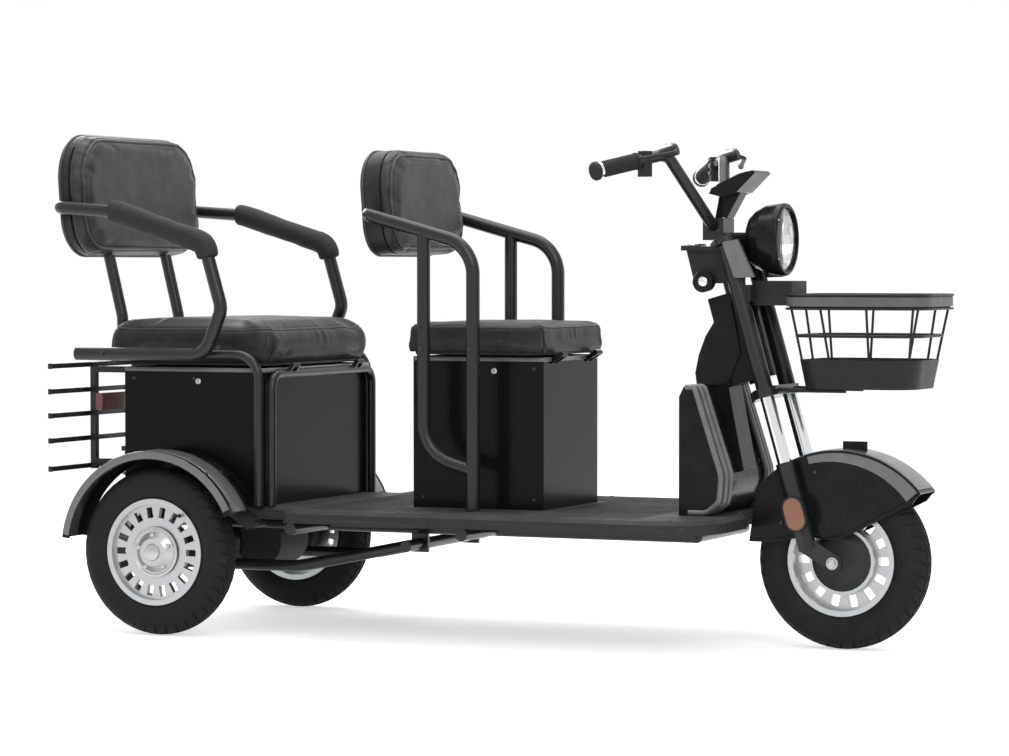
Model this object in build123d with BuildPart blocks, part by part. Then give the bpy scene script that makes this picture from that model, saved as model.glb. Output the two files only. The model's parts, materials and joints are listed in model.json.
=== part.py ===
"""Electric tricycle with two passenger seats, a floor deck and a wire basket.

Lengths are millimetres. Stations along X are measured forward from the rear axle,
Y is to the left and Z is up from the ground. On export everything moves back by
origin_x, so that the origin lies on the ground under the middle of the vehicle.
"""

import os
from math import atan2, cos, degrees, radians, sin, sqrt

from build123d import *

os.makedirs("parts", exist_ok=True)

# Wheels and stance
wheelbase = 1638.0
track = 750.0
rear_tyre_r = 205.0
front_tyre_r = 210.0
rear_tyre_width = 86.0
front_tyre_width = 90.0
tyre_wall = 9.0
rim_flange_r = 131.0
rim_flange_wall = 4.0
rim_barrel_wall = 6.0
bead_seat_r = 124.0
seat_clearance = 0.2
hub_bore_clearance = 0.06

# Steering geometry: the axis leans back by rake and passes through the stem point
rake = 16.0
stem_x = wheelbase - 320.0
stem_z = 996.0
leg_spacing = 166.0
leg_offset = 37.0
steering_gap = 6.0

# Floor deck
deck_rear_x = 332.0
deck_front_x = wheelbase - 213.0
deck_half_width = 385.0
deck_top_z = 318.0
deck_thickness = 33.0
deck_bevel = 10.0

# Under-floor frame
rail_r = 17.0
rail_spacing = 300.0
cross_tube_r = 15.0
rail_rear_x = -130.0
rail_front_x = wheelbase - 313.0

# Rear box and seat
rear_box_rear_x = -148.0
rear_box_front_x = 245.0
rear_box_half_width = 290.0
rear_box_top_z = 655.0
box_wall = 4.0
lid_gap = 5.0
pan_thickness = 6.0
rear_cushion_rear_x = -215.0
rear_cushion_front_x = 256.0
rear_cushion_half_width = rear_box_half_width - 5.0
rear_cushion_top_z = 777.0
cushion_edge_r = 26.0

# Middle box and seat
middle_box_rear_x = 591.0
middle_box_front_x = 936.0
middle_box_half_width = 171.0
middle_box_top_z = 686.0
middle_cushion_rear_x = 583.0
middle_cushion_front_x = 946.0
middle_cushion_half_width = 200.0
middle_cushion_top_z = 771.0

# Head tube and the down tube that carries it; nothing fixed stands inside the sweep
head_tube_r = 24.0
steerer_r = 13.0
down_tube_r = 15.0
wheel_sweep_r = 131.0

# Headlamp seat, and the gap left where one piece only rests on another
lamp_z = 968.0
lamp_rear_x = stem_x + 82.0
seat_gap = 0.3

# Seat tubes
seat_tube_r = 16.5
side_rail_r = 11.95
side_rail_y = rear_box_half_width + seat_gap + side_rail_r
rear_arm_y = side_rail_y + side_rail_r + seat_gap + seat_tube_r
middle_arm_y = 262.0

# Backrests
rear_back_front_x = -250.0
rear_pad_depth = 50.0
rear_shell_depth = 28.0
arm_inset = 27.0
rear_back_half_width = rear_arm_y - arm_inset
rear_back_bottom_z = 936.0
rear_back_top_z = 1240.0
rear_back_top_r = 120.0
rear_back_bottom_r = 95.0
middle_back_front_x = 560.0
middle_pad_depth = 40.0
middle_shell_depth = 50.0
middle_back_half_width = 212.0
middle_back_bottom_z = 937.0
middle_back_top_z = 1192.0
middle_back_top_r = 95.0
middle_back_bottom_r = 75.0

# Basket: a rim band, a middle ring, slanted wires and a low solid band with a floor
basket_rear_x = wheelbase - 116.0
basket_front_x = basket_rear_x + 350.0
basket_half_width = 150.0
basket_top_z = 838.0
basket_bottom_z = basket_top_z - 220.0
basket_band_height = 68.0
basket_ring_drop = 96.0
basket_rim_height = 34.0
basket_wire_r = 3.0
basket_ring_r = 3.6
basket_wire_inset = 4.2
basket_wall = 3.0
basket_corner_r = 70.0
basket_taper_rear = 38.0
basket_taper_front = 38.0
basket_taper_side = 30.0
basket_wires = 10

# Rear rack, which is the rearmost piece
rack_x = -358.0
rack_bar_depth = 10.0

# The origin lies midway between the rearmost and the foremost piece
origin_x = (basket_front_x + rack_x - rack_bar_depth / 2) / 2

rake_rad = radians(rake)
steer_plane = Plane(
    origin=(stem_x, 0, stem_z),
    x_dir=(cos(rake_rad), 0, sin(rake_rad)),
    z_dir=(-sin(rake_rad), 0, cos(rake_rad)),
)


def along_steer(forward, side, along):
    """World point from a place given ahead of, beside and along the steering axis."""
    return (
        stem_x + forward * cos(rake_rad) - along * sin(rake_rad),
        side,
        stem_z + forward * sin(rake_rad) + along * cos(rake_rad),
    )


def steer_along_at(forward, height):
    """Distance along the steering axis at which a line this far ahead has this height."""
    return (height - stem_z - forward * sin(rake_rad)) / cos(rake_rad)


def bar(points, bend, radius):
    """Sweep a round bar through the points, with its corners bent to a radius."""
    with BuildLine(mode=Mode.PRIVATE) as route:
        if len(points) == 2:
            Line(*points)
        else:
            FilletPolyline(*points, radius=bend)
    start = route.line @ 0
    with BuildSketch(Plane(origin=start, z_dir=route.line % 0)) as section:
        Circle(radius)
    sweep(section.sketch, path=route.line)


def save(part, label):
    """Label a finished piece, move it to the vehicle's origin and write it."""
    placed = part.moved(Location((-origin_x, 0, 0)))
    placed.label = label
    export_step(placed, f"parts/{label}.step")


def wheel_plane(x, y, z):
    """Plane whose X runs along the axle and whose Y runs up, for turned profiles."""
    return Plane(origin=(x, y, z), x_dir=(0, 1, 0), z_dir=(1, 0, 0))


def rim_half_width(width):
    """Half the width over the flanges of the rim for a tyre of this width."""
    return width * 0.40


def tyre(x, y, radius, width):
    """Turn one hollow tyre about its axle."""
    half = width / 2
    bead = rim_half_width(width) - rim_flange_wall - seat_clearance
    bead_top = rim_flange_r + 2
    shoulder = half * 0.80
    shoulder_r = radius - 15
    belly_r = (radius + bead_seat_r) / 2 - 4
    wall = tyre_wall
    with BuildSketch(wheel_plane(x, y, radius)) as profile:
        with BuildLine():
            Line((-bead, bead_seat_r), (-bead, bead_top))
            ThreePointArc((-bead, bead_top), (-half, belly_r), (-shoulder, shoulder_r))
            ThreePointArc((-shoulder, shoulder_r), (0, radius), (shoulder, shoulder_r))
            ThreePointArc((shoulder, shoulder_r), (half, belly_r), (bead, bead_top))
            Line((bead, bead_top), (bead, bead_seat_r))
            Line((bead, bead_seat_r), (bead - wall, bead_seat_r))
            Line((bead - wall, bead_seat_r), (bead - wall, bead_top))
            ThreePointArc(
                (bead - wall, bead_top),
                (half - wall, belly_r),
                (shoulder - wall, shoulder_r - wall),
            )
            ThreePointArc(
                (shoulder - wall, shoulder_r - wall),
                (0, radius - wall - 3),
                (wall - shoulder, shoulder_r - wall),
            )
            ThreePointArc(
                (wall - shoulder, shoulder_r - wall),
                (wall - half, belly_r),
                (wall - bead, bead_top),
            )
            Line((wall - bead, bead_top), (wall - bead, bead_seat_r))
            Line((wall - bead, bead_seat_r), (-bead, bead_seat_r))
        make_face()
    revolve(profile.sketch, axis=Axis((x, y, radius), (0, 1, 0)))


def rim(x, y, radius, width, outward, hub_r, bore_r, windows, window_inner_r, window_outer_r):
    """Turn one rim with its disc, then cut the windows near its edge.

    outward is +1 or -1 for the side that the disc's face looks to, or 0 for a disc
    in the middle.
    """
    half = rim_half_width(width)
    barrel_r = bead_seat_r - seat_clearance
    inner_r = barrel_r - rim_barrel_wall
    disc_y = outward * half * 0.45
    disc_half = 7.0
    centre = (x, y, radius)
    with BuildSketch(wheel_plane(*centre)) as profile:
        Polygon(
            (-half, inner_r),
            (-half, rim_flange_r),
            (-half + rim_flange_wall, rim_flange_r),
            (-half + rim_flange_wall, barrel_r),
            (half - rim_flange_wall, barrel_r),
            (half - rim_flange_wall, rim_flange_r),
            (half, rim_flange_r),
            (half, inner_r),
            align=None,
        )
        with Locations((disc_y, (inner_r + hub_r) / 2 + 1)):
            Rectangle(2 * disc_half, inner_r - hub_r + 4)
        with Locations((disc_y, (hub_r + bore_r) / 2)):
            Rectangle(width * 0.62, hub_r - bore_r)
    revolve(profile.sketch, axis=Axis(centre, (0, 1, 0)))
    window_length = window_outer_r - window_inner_r
    window_mid = (window_outer_r + window_inner_r) / 2
    slot_plane = Plane(origin=(x, y + disc_y, radius), x_dir=(1, 0, 0), z_dir=(0, -1, 0))
    with BuildSketch(slot_plane) as slots:
        with PolarLocations(window_mid, windows):
            Rectangle(window_length, window_mid * 2.9 / windows)
    extrude(slots.sketch, amount=disc_half + 1, both=True, mode=Mode.SUBTRACT)


# Rear wheels
rear_hub_r = 34.0
rear_axle_r = 12.0
for side, sign in (("left", 1), ("right", -1)):
    with BuildPart() as rear_tyre:
        tyre(0, sign * track / 2, rear_tyre_r, rear_tyre_width)
    save(rear_tyre.part, f"rear_tyre_{side}")

    with BuildPart() as rear_rim:
        rim(
            0,
            sign * track / 2,
            rear_tyre_r,
            rear_tyre_width,
            sign,
            rear_hub_r,
            rear_axle_r + hub_bore_clearance,
            windows=18,
            window_inner_r=84,
            window_outer_r=110,
        )
    save(rear_rim.part, f"rear_rim_{side}")

# Front wheel
front_hub_r = 72.0
front_hub_half = 42.0
front_axle_r = 8.0
with BuildPart() as front_tyre:
    tyre(wheelbase, 0, front_tyre_r, front_tyre_width)
save(front_tyre.part, "front_tyre")

with BuildPart() as front_rim:
    rim(
        wheelbase,
        0,
        front_tyre_r,
        front_tyre_width,
        0,
        front_hub_r + 8,
        front_hub_r,
        windows=14,
        window_inner_r=84,
        window_outer_r=112,
    )
save(front_rim.part, "front_rim")

with BuildPart() as front_hub:
    with BuildSketch(wheel_plane(wheelbase, 0, front_tyre_r)):
        Polygon(
            (-front_hub_half, front_axle_r + hub_bore_clearance),
            (-front_hub_half, front_hub_r - 16),
            (-front_hub_half + 12, front_hub_r - seat_clearance),
            (front_hub_half - 12, front_hub_r - seat_clearance),
            (front_hub_half, front_hub_r - 16),
            (front_hub_half, front_axle_r + hub_bore_clearance),
            align=None,
        )
    revolve(axis=Axis((wheelbase, 0, front_tyre_r), (0, 1, 0)))
save(front_hub.part, "front_hub")

# Rear axle with its motor and differential case, and the drums inside the wheels
axle_tube_r = 26.0
drum_r = 66.0
drum_outer_y = track / 2 - 4
drum_inner_y = track / 2 - 50
hub_inner_y = track / 2 + rear_tyre_width * 0.40 * 0.45 - rear_tyre_width * 0.31
with BuildPart() as rear_axle:
    with BuildSketch(wheel_plane(0, 0, rear_tyre_r)):
        Polygon(
            (-drum_inner_y, 0),
            (-drum_inner_y, axle_tube_r),
            (-110, axle_tube_r),
            (-70, 72),
            (50, 72),
            (90, axle_tube_r),
            (drum_inner_y, axle_tube_r),
            (drum_inner_y, 0),
            align=None,
        )
    revolve(axis=Axis((0, 0, rear_tyre_r), (0, 1, 0)))
save(rear_axle.part, "rear_axle")

with BuildPart() as drive_motor:
    with BuildSketch(wheel_plane(118, -10, rear_tyre_r + 6)):
        with Locations((0, 32)):
            Rectangle(150, 64)
    revolve(axis=Axis((118, -10, rear_tyre_r + 6), (0, 1, 0)))
    with Locations((58, -10, rear_tyre_r)):
        Box(70, 60, 50, mode=Mode.ADD)
    with Locations(Location((0, 0, rear_tyre_r), (90, 0, 0))):
        Cylinder(72.3, 400, mode=Mode.SUBTRACT)
save(drive_motor.part, "drive_motor")

with BuildPart() as brake_drums:
    for sign in (1, -1):
        with BuildSketch(wheel_plane(0, 0, rear_tyre_r)):
            Polygon(
                (sign * (drum_inner_y + 0.0), 0),
                (sign * (drum_inner_y + 0.0), drum_r),
                (sign * (hub_inner_y - lid_gap), drum_r),
                (sign * (hub_inner_y - lid_gap), rear_axle_r),
                (sign * (track / 2 + 44), rear_axle_r),
                (sign * (track / 2 + 44), 0),
                align=None,
            )
        revolve(axis=Axis((0, 0, rear_tyre_r), (0, 1, 0)))
save(brake_drums.part, "brake_drums")

# Trailing arms from the axle to a pivot tube, and the shock absorbers
arm_pivot_x = 600.0
arm_pivot_z = 226.0
trailing_arm_y = 205.0
arm_tube_r = 14.0
arm_rear_z = rear_tyre_r - axle_tube_r - arm_tube_r
shock_x = -184.0
with BuildPart() as trailing_arms:
    for sign in (1, -1):
        bar(
            [
                (shock_x - 16, sign * trailing_arm_y, arm_rear_z),
                (300, sign * trailing_arm_y, arm_rear_z),
                (arm_pivot_x - 3, sign * trailing_arm_y, arm_pivot_z),
            ],
            400,
            arm_tube_r,
        )
    bar(
        [
            (arm_pivot_x, -trailing_arm_y - 30, arm_pivot_z),
            (arm_pivot_x, trailing_arm_y + 30, arm_pivot_z),
        ],
        0,
        arm_tube_r,
    )
    bar([(280, 3 - trailing_arm_y, arm_rear_z + 2), (280, trailing_arm_y - 3, arm_rear_z + 2)], 0, 11)
save(trailing_arms.part, "trailing_arms")

# Shock absorbers from the arms' rear ends up to brackets on the box's rear wall
spring_r = 21.0
damper_r = 13.0
spring_bottom_z = 226.0
spring_top_z = 408.0
shock_top_z = 440.0
with BuildPart() as rear_shocks:
    for sign in (1, -1):
        for low, high, radius in (
            (arm_rear_z + arm_tube_r, shock_top_z, damper_r),
            (spring_bottom_z, spring_top_z, spring_r),
        ):
            with Locations((shock_x, sign * trailing_arm_y, (low + high) / 2)):
                Cylinder(radius, high - low)
        with BuildSketch(Plane.XZ.offset(-sign * trailing_arm_y)) as strap:
            Polygon(
                (rear_box_rear_x, shock_top_z - 40),
                (rear_box_rear_x, shock_top_z + 12),
                (shock_x - 14, shock_top_z + 12),
                (shock_x - 14, shock_top_z),
                (rear_box_rear_x - 12, shock_top_z),
                align=None,
            )
        extrude(strap.sketch, amount=18, both=True)
    add(trailing_arms.part, mode=Mode.SUBTRACT)
save(rear_shocks.part, "rear_shocks")

# Under-floor frame
rail_z = deck_top_z - deck_thickness - rail_r
with BuildPart() as chassis_frame:
    for sign in (1, -1):
        bar(
            [
                (rail_rear_x, sign * rail_spacing / 2, rail_z),
                (rail_front_x, sign * rail_spacing / 2, rail_z),
            ],
            0,
            rail_r,
        )
    for x, half_length in ((-130, 240), (345, 350), (800, 350), (rail_front_x, 165)):
        bar([(x, -half_length, rail_z), (x, half_length, rail_z)], 0, cross_tube_r)
    for sign in (1, -1):
        with Locations((arm_pivot_x, sign * rail_spacing / 2, (rail_z + arm_pivot_z) / 2 - 10)):
            Box(44, 10, rail_z - arm_pivot_z + 20)
    with Locations(Location((arm_pivot_x, 0, arm_pivot_z), (90, 0, 0))):
        Cylinder(arm_tube_r + 0.05, 2 * trailing_arm_y, mode=Mode.SUBTRACT)
save(chassis_frame.part, "chassis_frame")

with BuildPart() as floor_deck:
    with BuildSketch(Plane.XY.offset(deck_top_z - deck_thickness)) as deck_outline:
        with Locations(((deck_rear_x + deck_front_x) / 2, 0)):
            Rectangle(deck_front_x - deck_rear_x, 2 * deck_half_width)
        fillet(deck_outline.vertices().group_by(Axis.X)[-1], 130)
        fillet(deck_outline.vertices().group_by(Axis.X)[0], 30)
        with Locations(((rear_box_rear_x + deck_rear_x) / 2, 0)):
            Rectangle(deck_rear_x - rear_box_rear_x + 20, 2 * rear_box_half_width)
    extrude(amount=deck_thickness)
    chamfer(floor_deck.faces().sort_by(Axis.Z)[-1].edges(), deck_bevel)
    with BuildSketch(steer_plane.offset(steer_along_at(0, 200))):
        Circle(wheel_sweep_r)
    extrude(amount=steer_along_at(0, 420) - steer_along_at(0, 200), mode=Mode.SUBTRACT)
    with Locations((rail_front_x, 0, deck_top_z - deck_thickness / 2)):
        Cylinder(down_tube_r + 0.3, deck_thickness + 2, mode=Mode.SUBTRACT)
save(floor_deck.part, "floor_deck")


def open_box(rear_x, front_x, half_width, bottom_z, top_z, wall):
    """Make a box with a floor and four walls, open at its top."""
    middle = ((rear_x + front_x) / 2, 0, (bottom_z + top_z) / 2)
    with Locations(middle):
        Box(front_x - rear_x, 2 * half_width, top_z - bottom_z)
    inner_centre = (middle[0], 0, (bottom_z + wall + top_z) / 2 + wall)
    with Locations(inner_centre):
        Box(
            front_x - rear_x - 2 * wall,
            2 * (half_width - wall),
            top_z - bottom_z + wall,
            mode=Mode.SUBTRACT,
        )


with BuildPart() as rear_box:
    open_box(
        rear_box_rear_x, rear_box_front_x, rear_box_half_width, deck_top_z, rear_box_top_z, box_wall
    )
save(rear_box.part, "rear_box")

# Battery pack standing on the floor of the rear box
battery_depth = 190.0
battery_width = 410.0
battery_height = 172.0
with BuildPart() as battery_pack:
    battery_z = deck_top_z + box_wall + battery_height / 2
    with Locations(((rear_box_rear_x + rear_box_front_x) / 2, 0, battery_z)):
        Box(battery_depth, battery_width, battery_height)
save(battery_pack.part, "battery_pack")


def cushion(rear_x, front_x, half_width, bottom_z, top_z, edge_r):
    """Make a seat cushion with round corners and a soft top edge."""
    with BuildSketch(Plane.XY.offset(bottom_z)) as outline:
        with Locations(((rear_x + front_x) / 2, 0)):
            RectangleRounded(front_x - rear_x, 2 * half_width, 45)
    block = extrude(outline.sketch, amount=top_z - bottom_z)
    fillet(block.faces().sort_by(Axis.Z)[-1].edges(), edge_r)


# Seat lids. Each turns about a pin ahead of its front edge
hinge_pin_r = 3.0
hinge_eye_r = 6.0
hinge_ahead = 16.0
rear_hinge_x = rear_cushion_front_x + hinge_ahead
rear_pan_z = rear_box_top_z + lid_gap
rear_hinge_z = rear_pan_z + 1
middle_hinge_x = middle_cushion_front_x + hinge_ahead
middle_pan_z = middle_box_top_z + lid_gap
middle_hinge_z = middle_pan_z + 1
hinge_eye_width = 24.0
hinge_lug_width = 5.0


def seat_pan(rear_x, front_x, half_width, bottom_z, hinge_x, hinge_z, hinge_ys):
    """Make the stiff pan under a cushion, with its hinge tongues and eyes."""
    with BuildSketch(Plane.XY.offset(bottom_z)) as outline:
        with Locations(((rear_x + front_x) / 2, 0)):
            RectangleRounded(front_x - rear_x - 20, 2 * half_width - 20, 36)
    extrude(outline.sketch, amount=pan_thickness)
    for y in hinge_ys:
        with Locations(((front_x - 30 + hinge_x) / 2, y, bottom_z + 1.5)):
            Box(hinge_x - front_x + 30, hinge_eye_width, 3)
        with Locations(Location((hinge_x, y, hinge_z), (90, 0, 0))):
            Cylinder(hinge_eye_r, hinge_eye_width)
    for y in hinge_ys:
        with Locations(Location((hinge_x, y, hinge_z), (90, 0, 0))):
            Cylinder(hinge_pin_r + hub_bore_clearance, hinge_eye_width + 2, mode=Mode.SUBTRACT)


rear_hinge_ys = (-180, 180)
middle_hinge_ys = (-110, 110)
with BuildPart() as rear_cushion:
    cushion(
        rear_cushion_rear_x,
        rear_cushion_front_x,
        rear_cushion_half_width,
        rear_pan_z + pan_thickness,
        rear_cushion_top_z,
        cushion_edge_r,
    )
save(rear_cushion.part, "rear_cushion")

with BuildPart() as rear_seat_pan:
    seat_pan(
        rear_cushion_rear_x,
        rear_cushion_front_x,
        rear_cushion_half_width,
        rear_pan_z,
        rear_hinge_x,
        rear_hinge_z,
        rear_hinge_ys,
    )
save(rear_seat_pan.part, "rear_seat_pan")

with BuildPart() as middle_cushion:
    cushion(
        middle_cushion_rear_x,
        middle_cushion_front_x,
        middle_cushion_half_width,
        middle_pan_z + pan_thickness,
        middle_cushion_top_z,
        cushion_edge_r,
    )
save(middle_cushion.part, "middle_cushion")

with BuildPart() as middle_seat_pan:
    seat_pan(
        middle_cushion_rear_x,
        middle_cushion_front_x,
        middle_cushion_half_width,
        middle_pan_z,
        middle_hinge_x,
        middle_hinge_z,
        middle_hinge_ys,
    )
save(middle_seat_pan.part, "middle_seat_pan")


def hinge_lugs(carrier_x, carrier_z, hinge_x, hinge_z, hinge_ys):
    """Stand a pair of lugs and a pin on the piece that carries each hinge."""
    reach = sqrt((hinge_x - carrier_x) ** 2 + (hinge_z - carrier_z) ** 2)
    tilt = degrees(atan2(hinge_z - carrier_z, hinge_x - carrier_x))
    lug_offset = (hinge_eye_width + 1 + hinge_lug_width) / 2
    for y in hinge_ys:
        for sign in (1, -1):
            lug_plane = Plane(
                origin=((carrier_x + hinge_x) / 2, y + sign * lug_offset, (carrier_z + hinge_z) / 2),
                x_dir=(1, 0, 0),
                z_dir=(0, -1, 0),
            )
            with BuildSketch(lug_plane) as lug:
                SlotCenterToCenter(reach, 2 * hinge_eye_r, rotation=tilt)
            extrude(lug.sketch, amount=hinge_lug_width / 2, both=True)
        with Locations(Location((hinge_x, y, hinge_z), (90, 0, 0))):
            Cylinder(hinge_pin_r, 2 * lug_offset + hinge_lug_width)


# Middle box with the hinge lugs of its seat
with BuildPart() as middle_box:
    open_box(
        middle_box_rear_x,
        middle_box_front_x,
        middle_box_half_width,
        deck_top_z,
        middle_box_top_z,
        box_wall,
    )
    hinge_lugs(
        middle_box_front_x, middle_box_top_z - 10, middle_hinge_x, middle_hinge_z, middle_hinge_ys
    )
    with Locations(((middle_box_rear_x + middle_box_front_x) / 2, 0, middle_box_top_z - 30)):
        Box(
            middle_box_front_x - middle_box_rear_x - 2 * box_wall,
            2 * (middle_box_half_width - box_wall),
            80,
            mode=Mode.SUBTRACT,
        )
save(middle_box.part, "middle_box")

# Tubes round the rear box: a hoop across its front and a rail along each side
box_tube_r = 11.0
front_hoop_x = rear_box_front_x + box_tube_r + 2
front_hoop_z = rear_box_top_z - 15
front_hoop_y = rear_box_half_width - box_tube_r
hoop_bend = 38.0
side_rail_z = 687.0
side_rail_rear_x = rear_box_rear_x + 8
side_rail_front_x = rear_box_front_x - 11
side_rail_bend = 60.0
with BuildPart() as rear_box_tubes:
    bar(
        [
            (front_hoop_x, -front_hoop_y, deck_top_z),
            (front_hoop_x, -front_hoop_y, front_hoop_z),
            (front_hoop_x, front_hoop_y, front_hoop_z),
            (front_hoop_x, front_hoop_y, deck_top_z),
        ],
        hoop_bend,
        box_tube_r,
    )
    hinge_lugs(front_hoop_x, front_hoop_z, rear_hinge_x, rear_hinge_z, rear_hinge_ys)
    for sign in (1, -1):
        bar(
            [
                (side_rail_rear_x, sign * side_rail_y, side_rail_z),
                (side_rail_front_x, sign * side_rail_y, side_rail_z),
                (side_rail_front_x, sign * side_rail_y, deck_top_z),
            ],
            side_rail_bend,
            side_rail_r,
        )
save(rear_box_tubes.part, "rear_box_tubes")


# Backrests: a soft pad in front of a hollow shell
def backrest_plane(front_x, middle_z, lean, depth):
    """Plane at a depth behind the backrest's front, whose normal looks backwards."""
    lean_rad = radians(lean)
    backward = Vector(-cos(lean_rad), 0, -sin(lean_rad))
    origin = Vector(front_x, 0, middle_z) + backward * depth
    return Plane(origin=origin, x_dir=(0, 1, 0), z_dir=backward)


def back_outline(half_width, height, top_r, bottom_r):
    """Outline of a backrest, with larger corners at its top than at its bottom."""
    with BuildSketch(Plane.XY, mode=Mode.PRIVATE) as outline:
        Rectangle(2 * half_width, height)
        fillet(outline.vertices().group_by(Axis.Y)[-1], bottom_r)
        fillet(outline.vertices().group_by(Axis.Y)[0], top_r)
    return outline.sketch


back_lean = 4.0
shell_rim = 15.0
shell_back = 6.0
backrest_parts = {}
for seat, front_x, pad_depth, shell_depth, half_width, bottom_z, top_z, top_r, bottom_r in (
    (
        "rear",
        rear_back_front_x,
        rear_pad_depth,
        rear_shell_depth,
        rear_back_half_width,
        rear_back_bottom_z,
        rear_back_top_z,
        rear_back_top_r,
        rear_back_bottom_r,
    ),
    (
        "middle",
        middle_back_front_x,
        middle_pad_depth,
        middle_shell_depth,
        middle_back_half_width,
        middle_back_bottom_z,
        middle_back_top_z,
        middle_back_top_r,
        middle_back_bottom_r,
    ),
):
    middle_z = (bottom_z + top_z) / 2
    height = top_z - bottom_z
    with BuildPart() as back_pad:
        with BuildSketch(backrest_plane(front_x, middle_z, back_lean, 0)):
            add(back_outline(half_width, height, top_r, bottom_r))
        extrude(amount=pad_depth - seat_gap)
    save(back_pad.part, f"{seat}_back_pad")
    with BuildPart() as back_shell:
        with BuildSketch(backrest_plane(front_x, middle_z, back_lean, pad_depth)):
            add(back_outline(half_width, height, top_r, bottom_r))
        extrude(amount=shell_depth)
        with BuildSketch(backrest_plane(front_x, middle_z, back_lean, pad_depth + shell_depth)):
            add(
                back_outline(
                    half_width - shell_rim,
                    height - 2 * shell_rim,
                    top_r - shell_rim,
                    bottom_r - shell_rim,
                )
            )
        extrude(amount=shell_back - shell_depth, mode=Mode.SUBTRACT)
    save(back_shell.part, f"{seat}_back_shell")
    backrest_parts[seat] = (back_pad.part, back_shell.part)

# Rear seat tubes: on each side a lower rail that rises into the arm, and the
# backrest's two supports on a cross tube
rear_lower_rail_z = 687.0
support_y = 145.0
support_x = -238.0
rear_arm_end_z = 1052.0
rear_arm_end_x = rear_back_front_x - rear_pad_depth - rear_shell_depth / 2
rear_rail_end_x = rear_cushion_rear_x - 47
rear_rail_front_x = 100.0
rear_arm_knee = (rear_rail_front_x + 48, rear_lower_rail_z + 113)
rear_arm_corner = (rear_rail_front_x, rear_arm_end_z - 90)
rear_arm_rise = (rear_rail_front_x - 250, rear_arm_end_z - 12)
rear_arm_bend = 50.0
rear_rise_bend = 80.0
support_r = 14.5
support_foot_r = 12.5
support_bend_z = rear_lower_rail_z + 88
support_top_x = rear_back_front_x - 29
with BuildPart() as rear_seat_tubes:
    for sign in (1, -1):
        side_y = sign * rear_arm_y
        bar(
            [
                (rear_rail_end_x, side_y, rear_lower_rail_z),
                (rear_rail_front_x, side_y, rear_lower_rail_z),
                (rear_arm_knee[0], side_y, rear_arm_knee[1]),
                (rear_arm_corner[0], side_y, rear_arm_corner[1]),
                (rear_arm_rise[0], side_y, rear_arm_rise[1]),
                (rear_arm_end_x, side_y, rear_arm_end_z),
                (rear_arm_end_x, sign * (rear_back_half_width + seat_gap), rear_arm_end_z),
            ],
            [rear_arm_bend, rear_arm_bend, rear_arm_bend, rear_rise_bend, 20],
            seat_tube_r,
        )
        bar(
            [
                (support_x, sign * support_y, rear_lower_rail_z),
                (support_x, sign * support_y, support_bend_z),
                (support_top_x, sign * support_y, rear_back_bottom_z + 4),
            ],
            80,
            support_r,
        )
    bar(
        [
            (support_x, -rear_arm_y, rear_lower_rail_z),
            (support_x, rear_arm_y, rear_lower_rail_z),
        ],
        0,
        support_foot_r,
    )
    for backrest_part in backrest_parts["rear"]:
        add(backrest_part, mode=Mode.SUBTRACT)
save(rear_seat_tubes.part, "rear_seat_tubes")

# Foam sleeves on the rear arms, bent with them
arm_pad_r = 28.0
arm_pad_lead = 12.0
arm_pad_drop = 38.0
post_run = Vector(*rear_arm_knee) - Vector(*rear_arm_corner)
pad_end = Vector(*rear_arm_corner) + post_run.normalized() * arm_pad_drop
rise_run = Vector(rear_arm_end_x, rear_arm_end_z) - Vector(*rear_arm_rise)
pad_start = Vector(*rear_arm_rise) + rise_run.normalized() * arm_pad_lead
with BuildPart() as arm_pads:
    for sign in (1, -1):
        side_y = sign * rear_arm_y
        bar(
            [
                (pad_start.X, side_y, pad_start.Y),
                (rear_arm_rise[0], side_y, rear_arm_rise[1]),
                (rear_arm_corner[0], side_y, rear_arm_corner[1]),
                (pad_end.X, side_y, pad_end.Y),
            ],
            [rear_rise_bend, rear_arm_bend],
            arm_pad_r,
        )
    add(rear_seat_tubes.part, mode=Mode.SUBTRACT)
save(arm_pads.part, "arm_pads")

# Middle seat tubes: an arm that bends down to the deck and a rear post
middle_post_front_x = 791.0
middle_post_rear_x = 661.0
middle_arm_corner_z = 953.0
middle_arm_end_z = 1031.0
middle_arm_end_x = middle_back_front_x - middle_pad_depth - 14
with BuildPart() as middle_seat_tubes:
    for sign in (1, -1):
        side_y = sign * middle_arm_y
        bar(
            [
                (middle_post_front_x, side_y, deck_top_z),
                (middle_post_front_x, side_y, middle_arm_corner_z),
                (middle_arm_end_x, side_y, middle_arm_end_z),
                (middle_arm_end_x, sign * (middle_back_half_width + 0.3), middle_arm_end_z),
            ],
            [90, 25],
            seat_tube_r,
        )
        bar(
            [
                (middle_post_rear_x, side_y, 985),
                (middle_post_rear_x, side_y, 452),
                (middle_post_front_x, side_y, 415),
            ],
            100,
            seat_tube_r - 0.5,
        )
save(middle_seat_tubes.part, "middle_seat_tubes")

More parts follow.
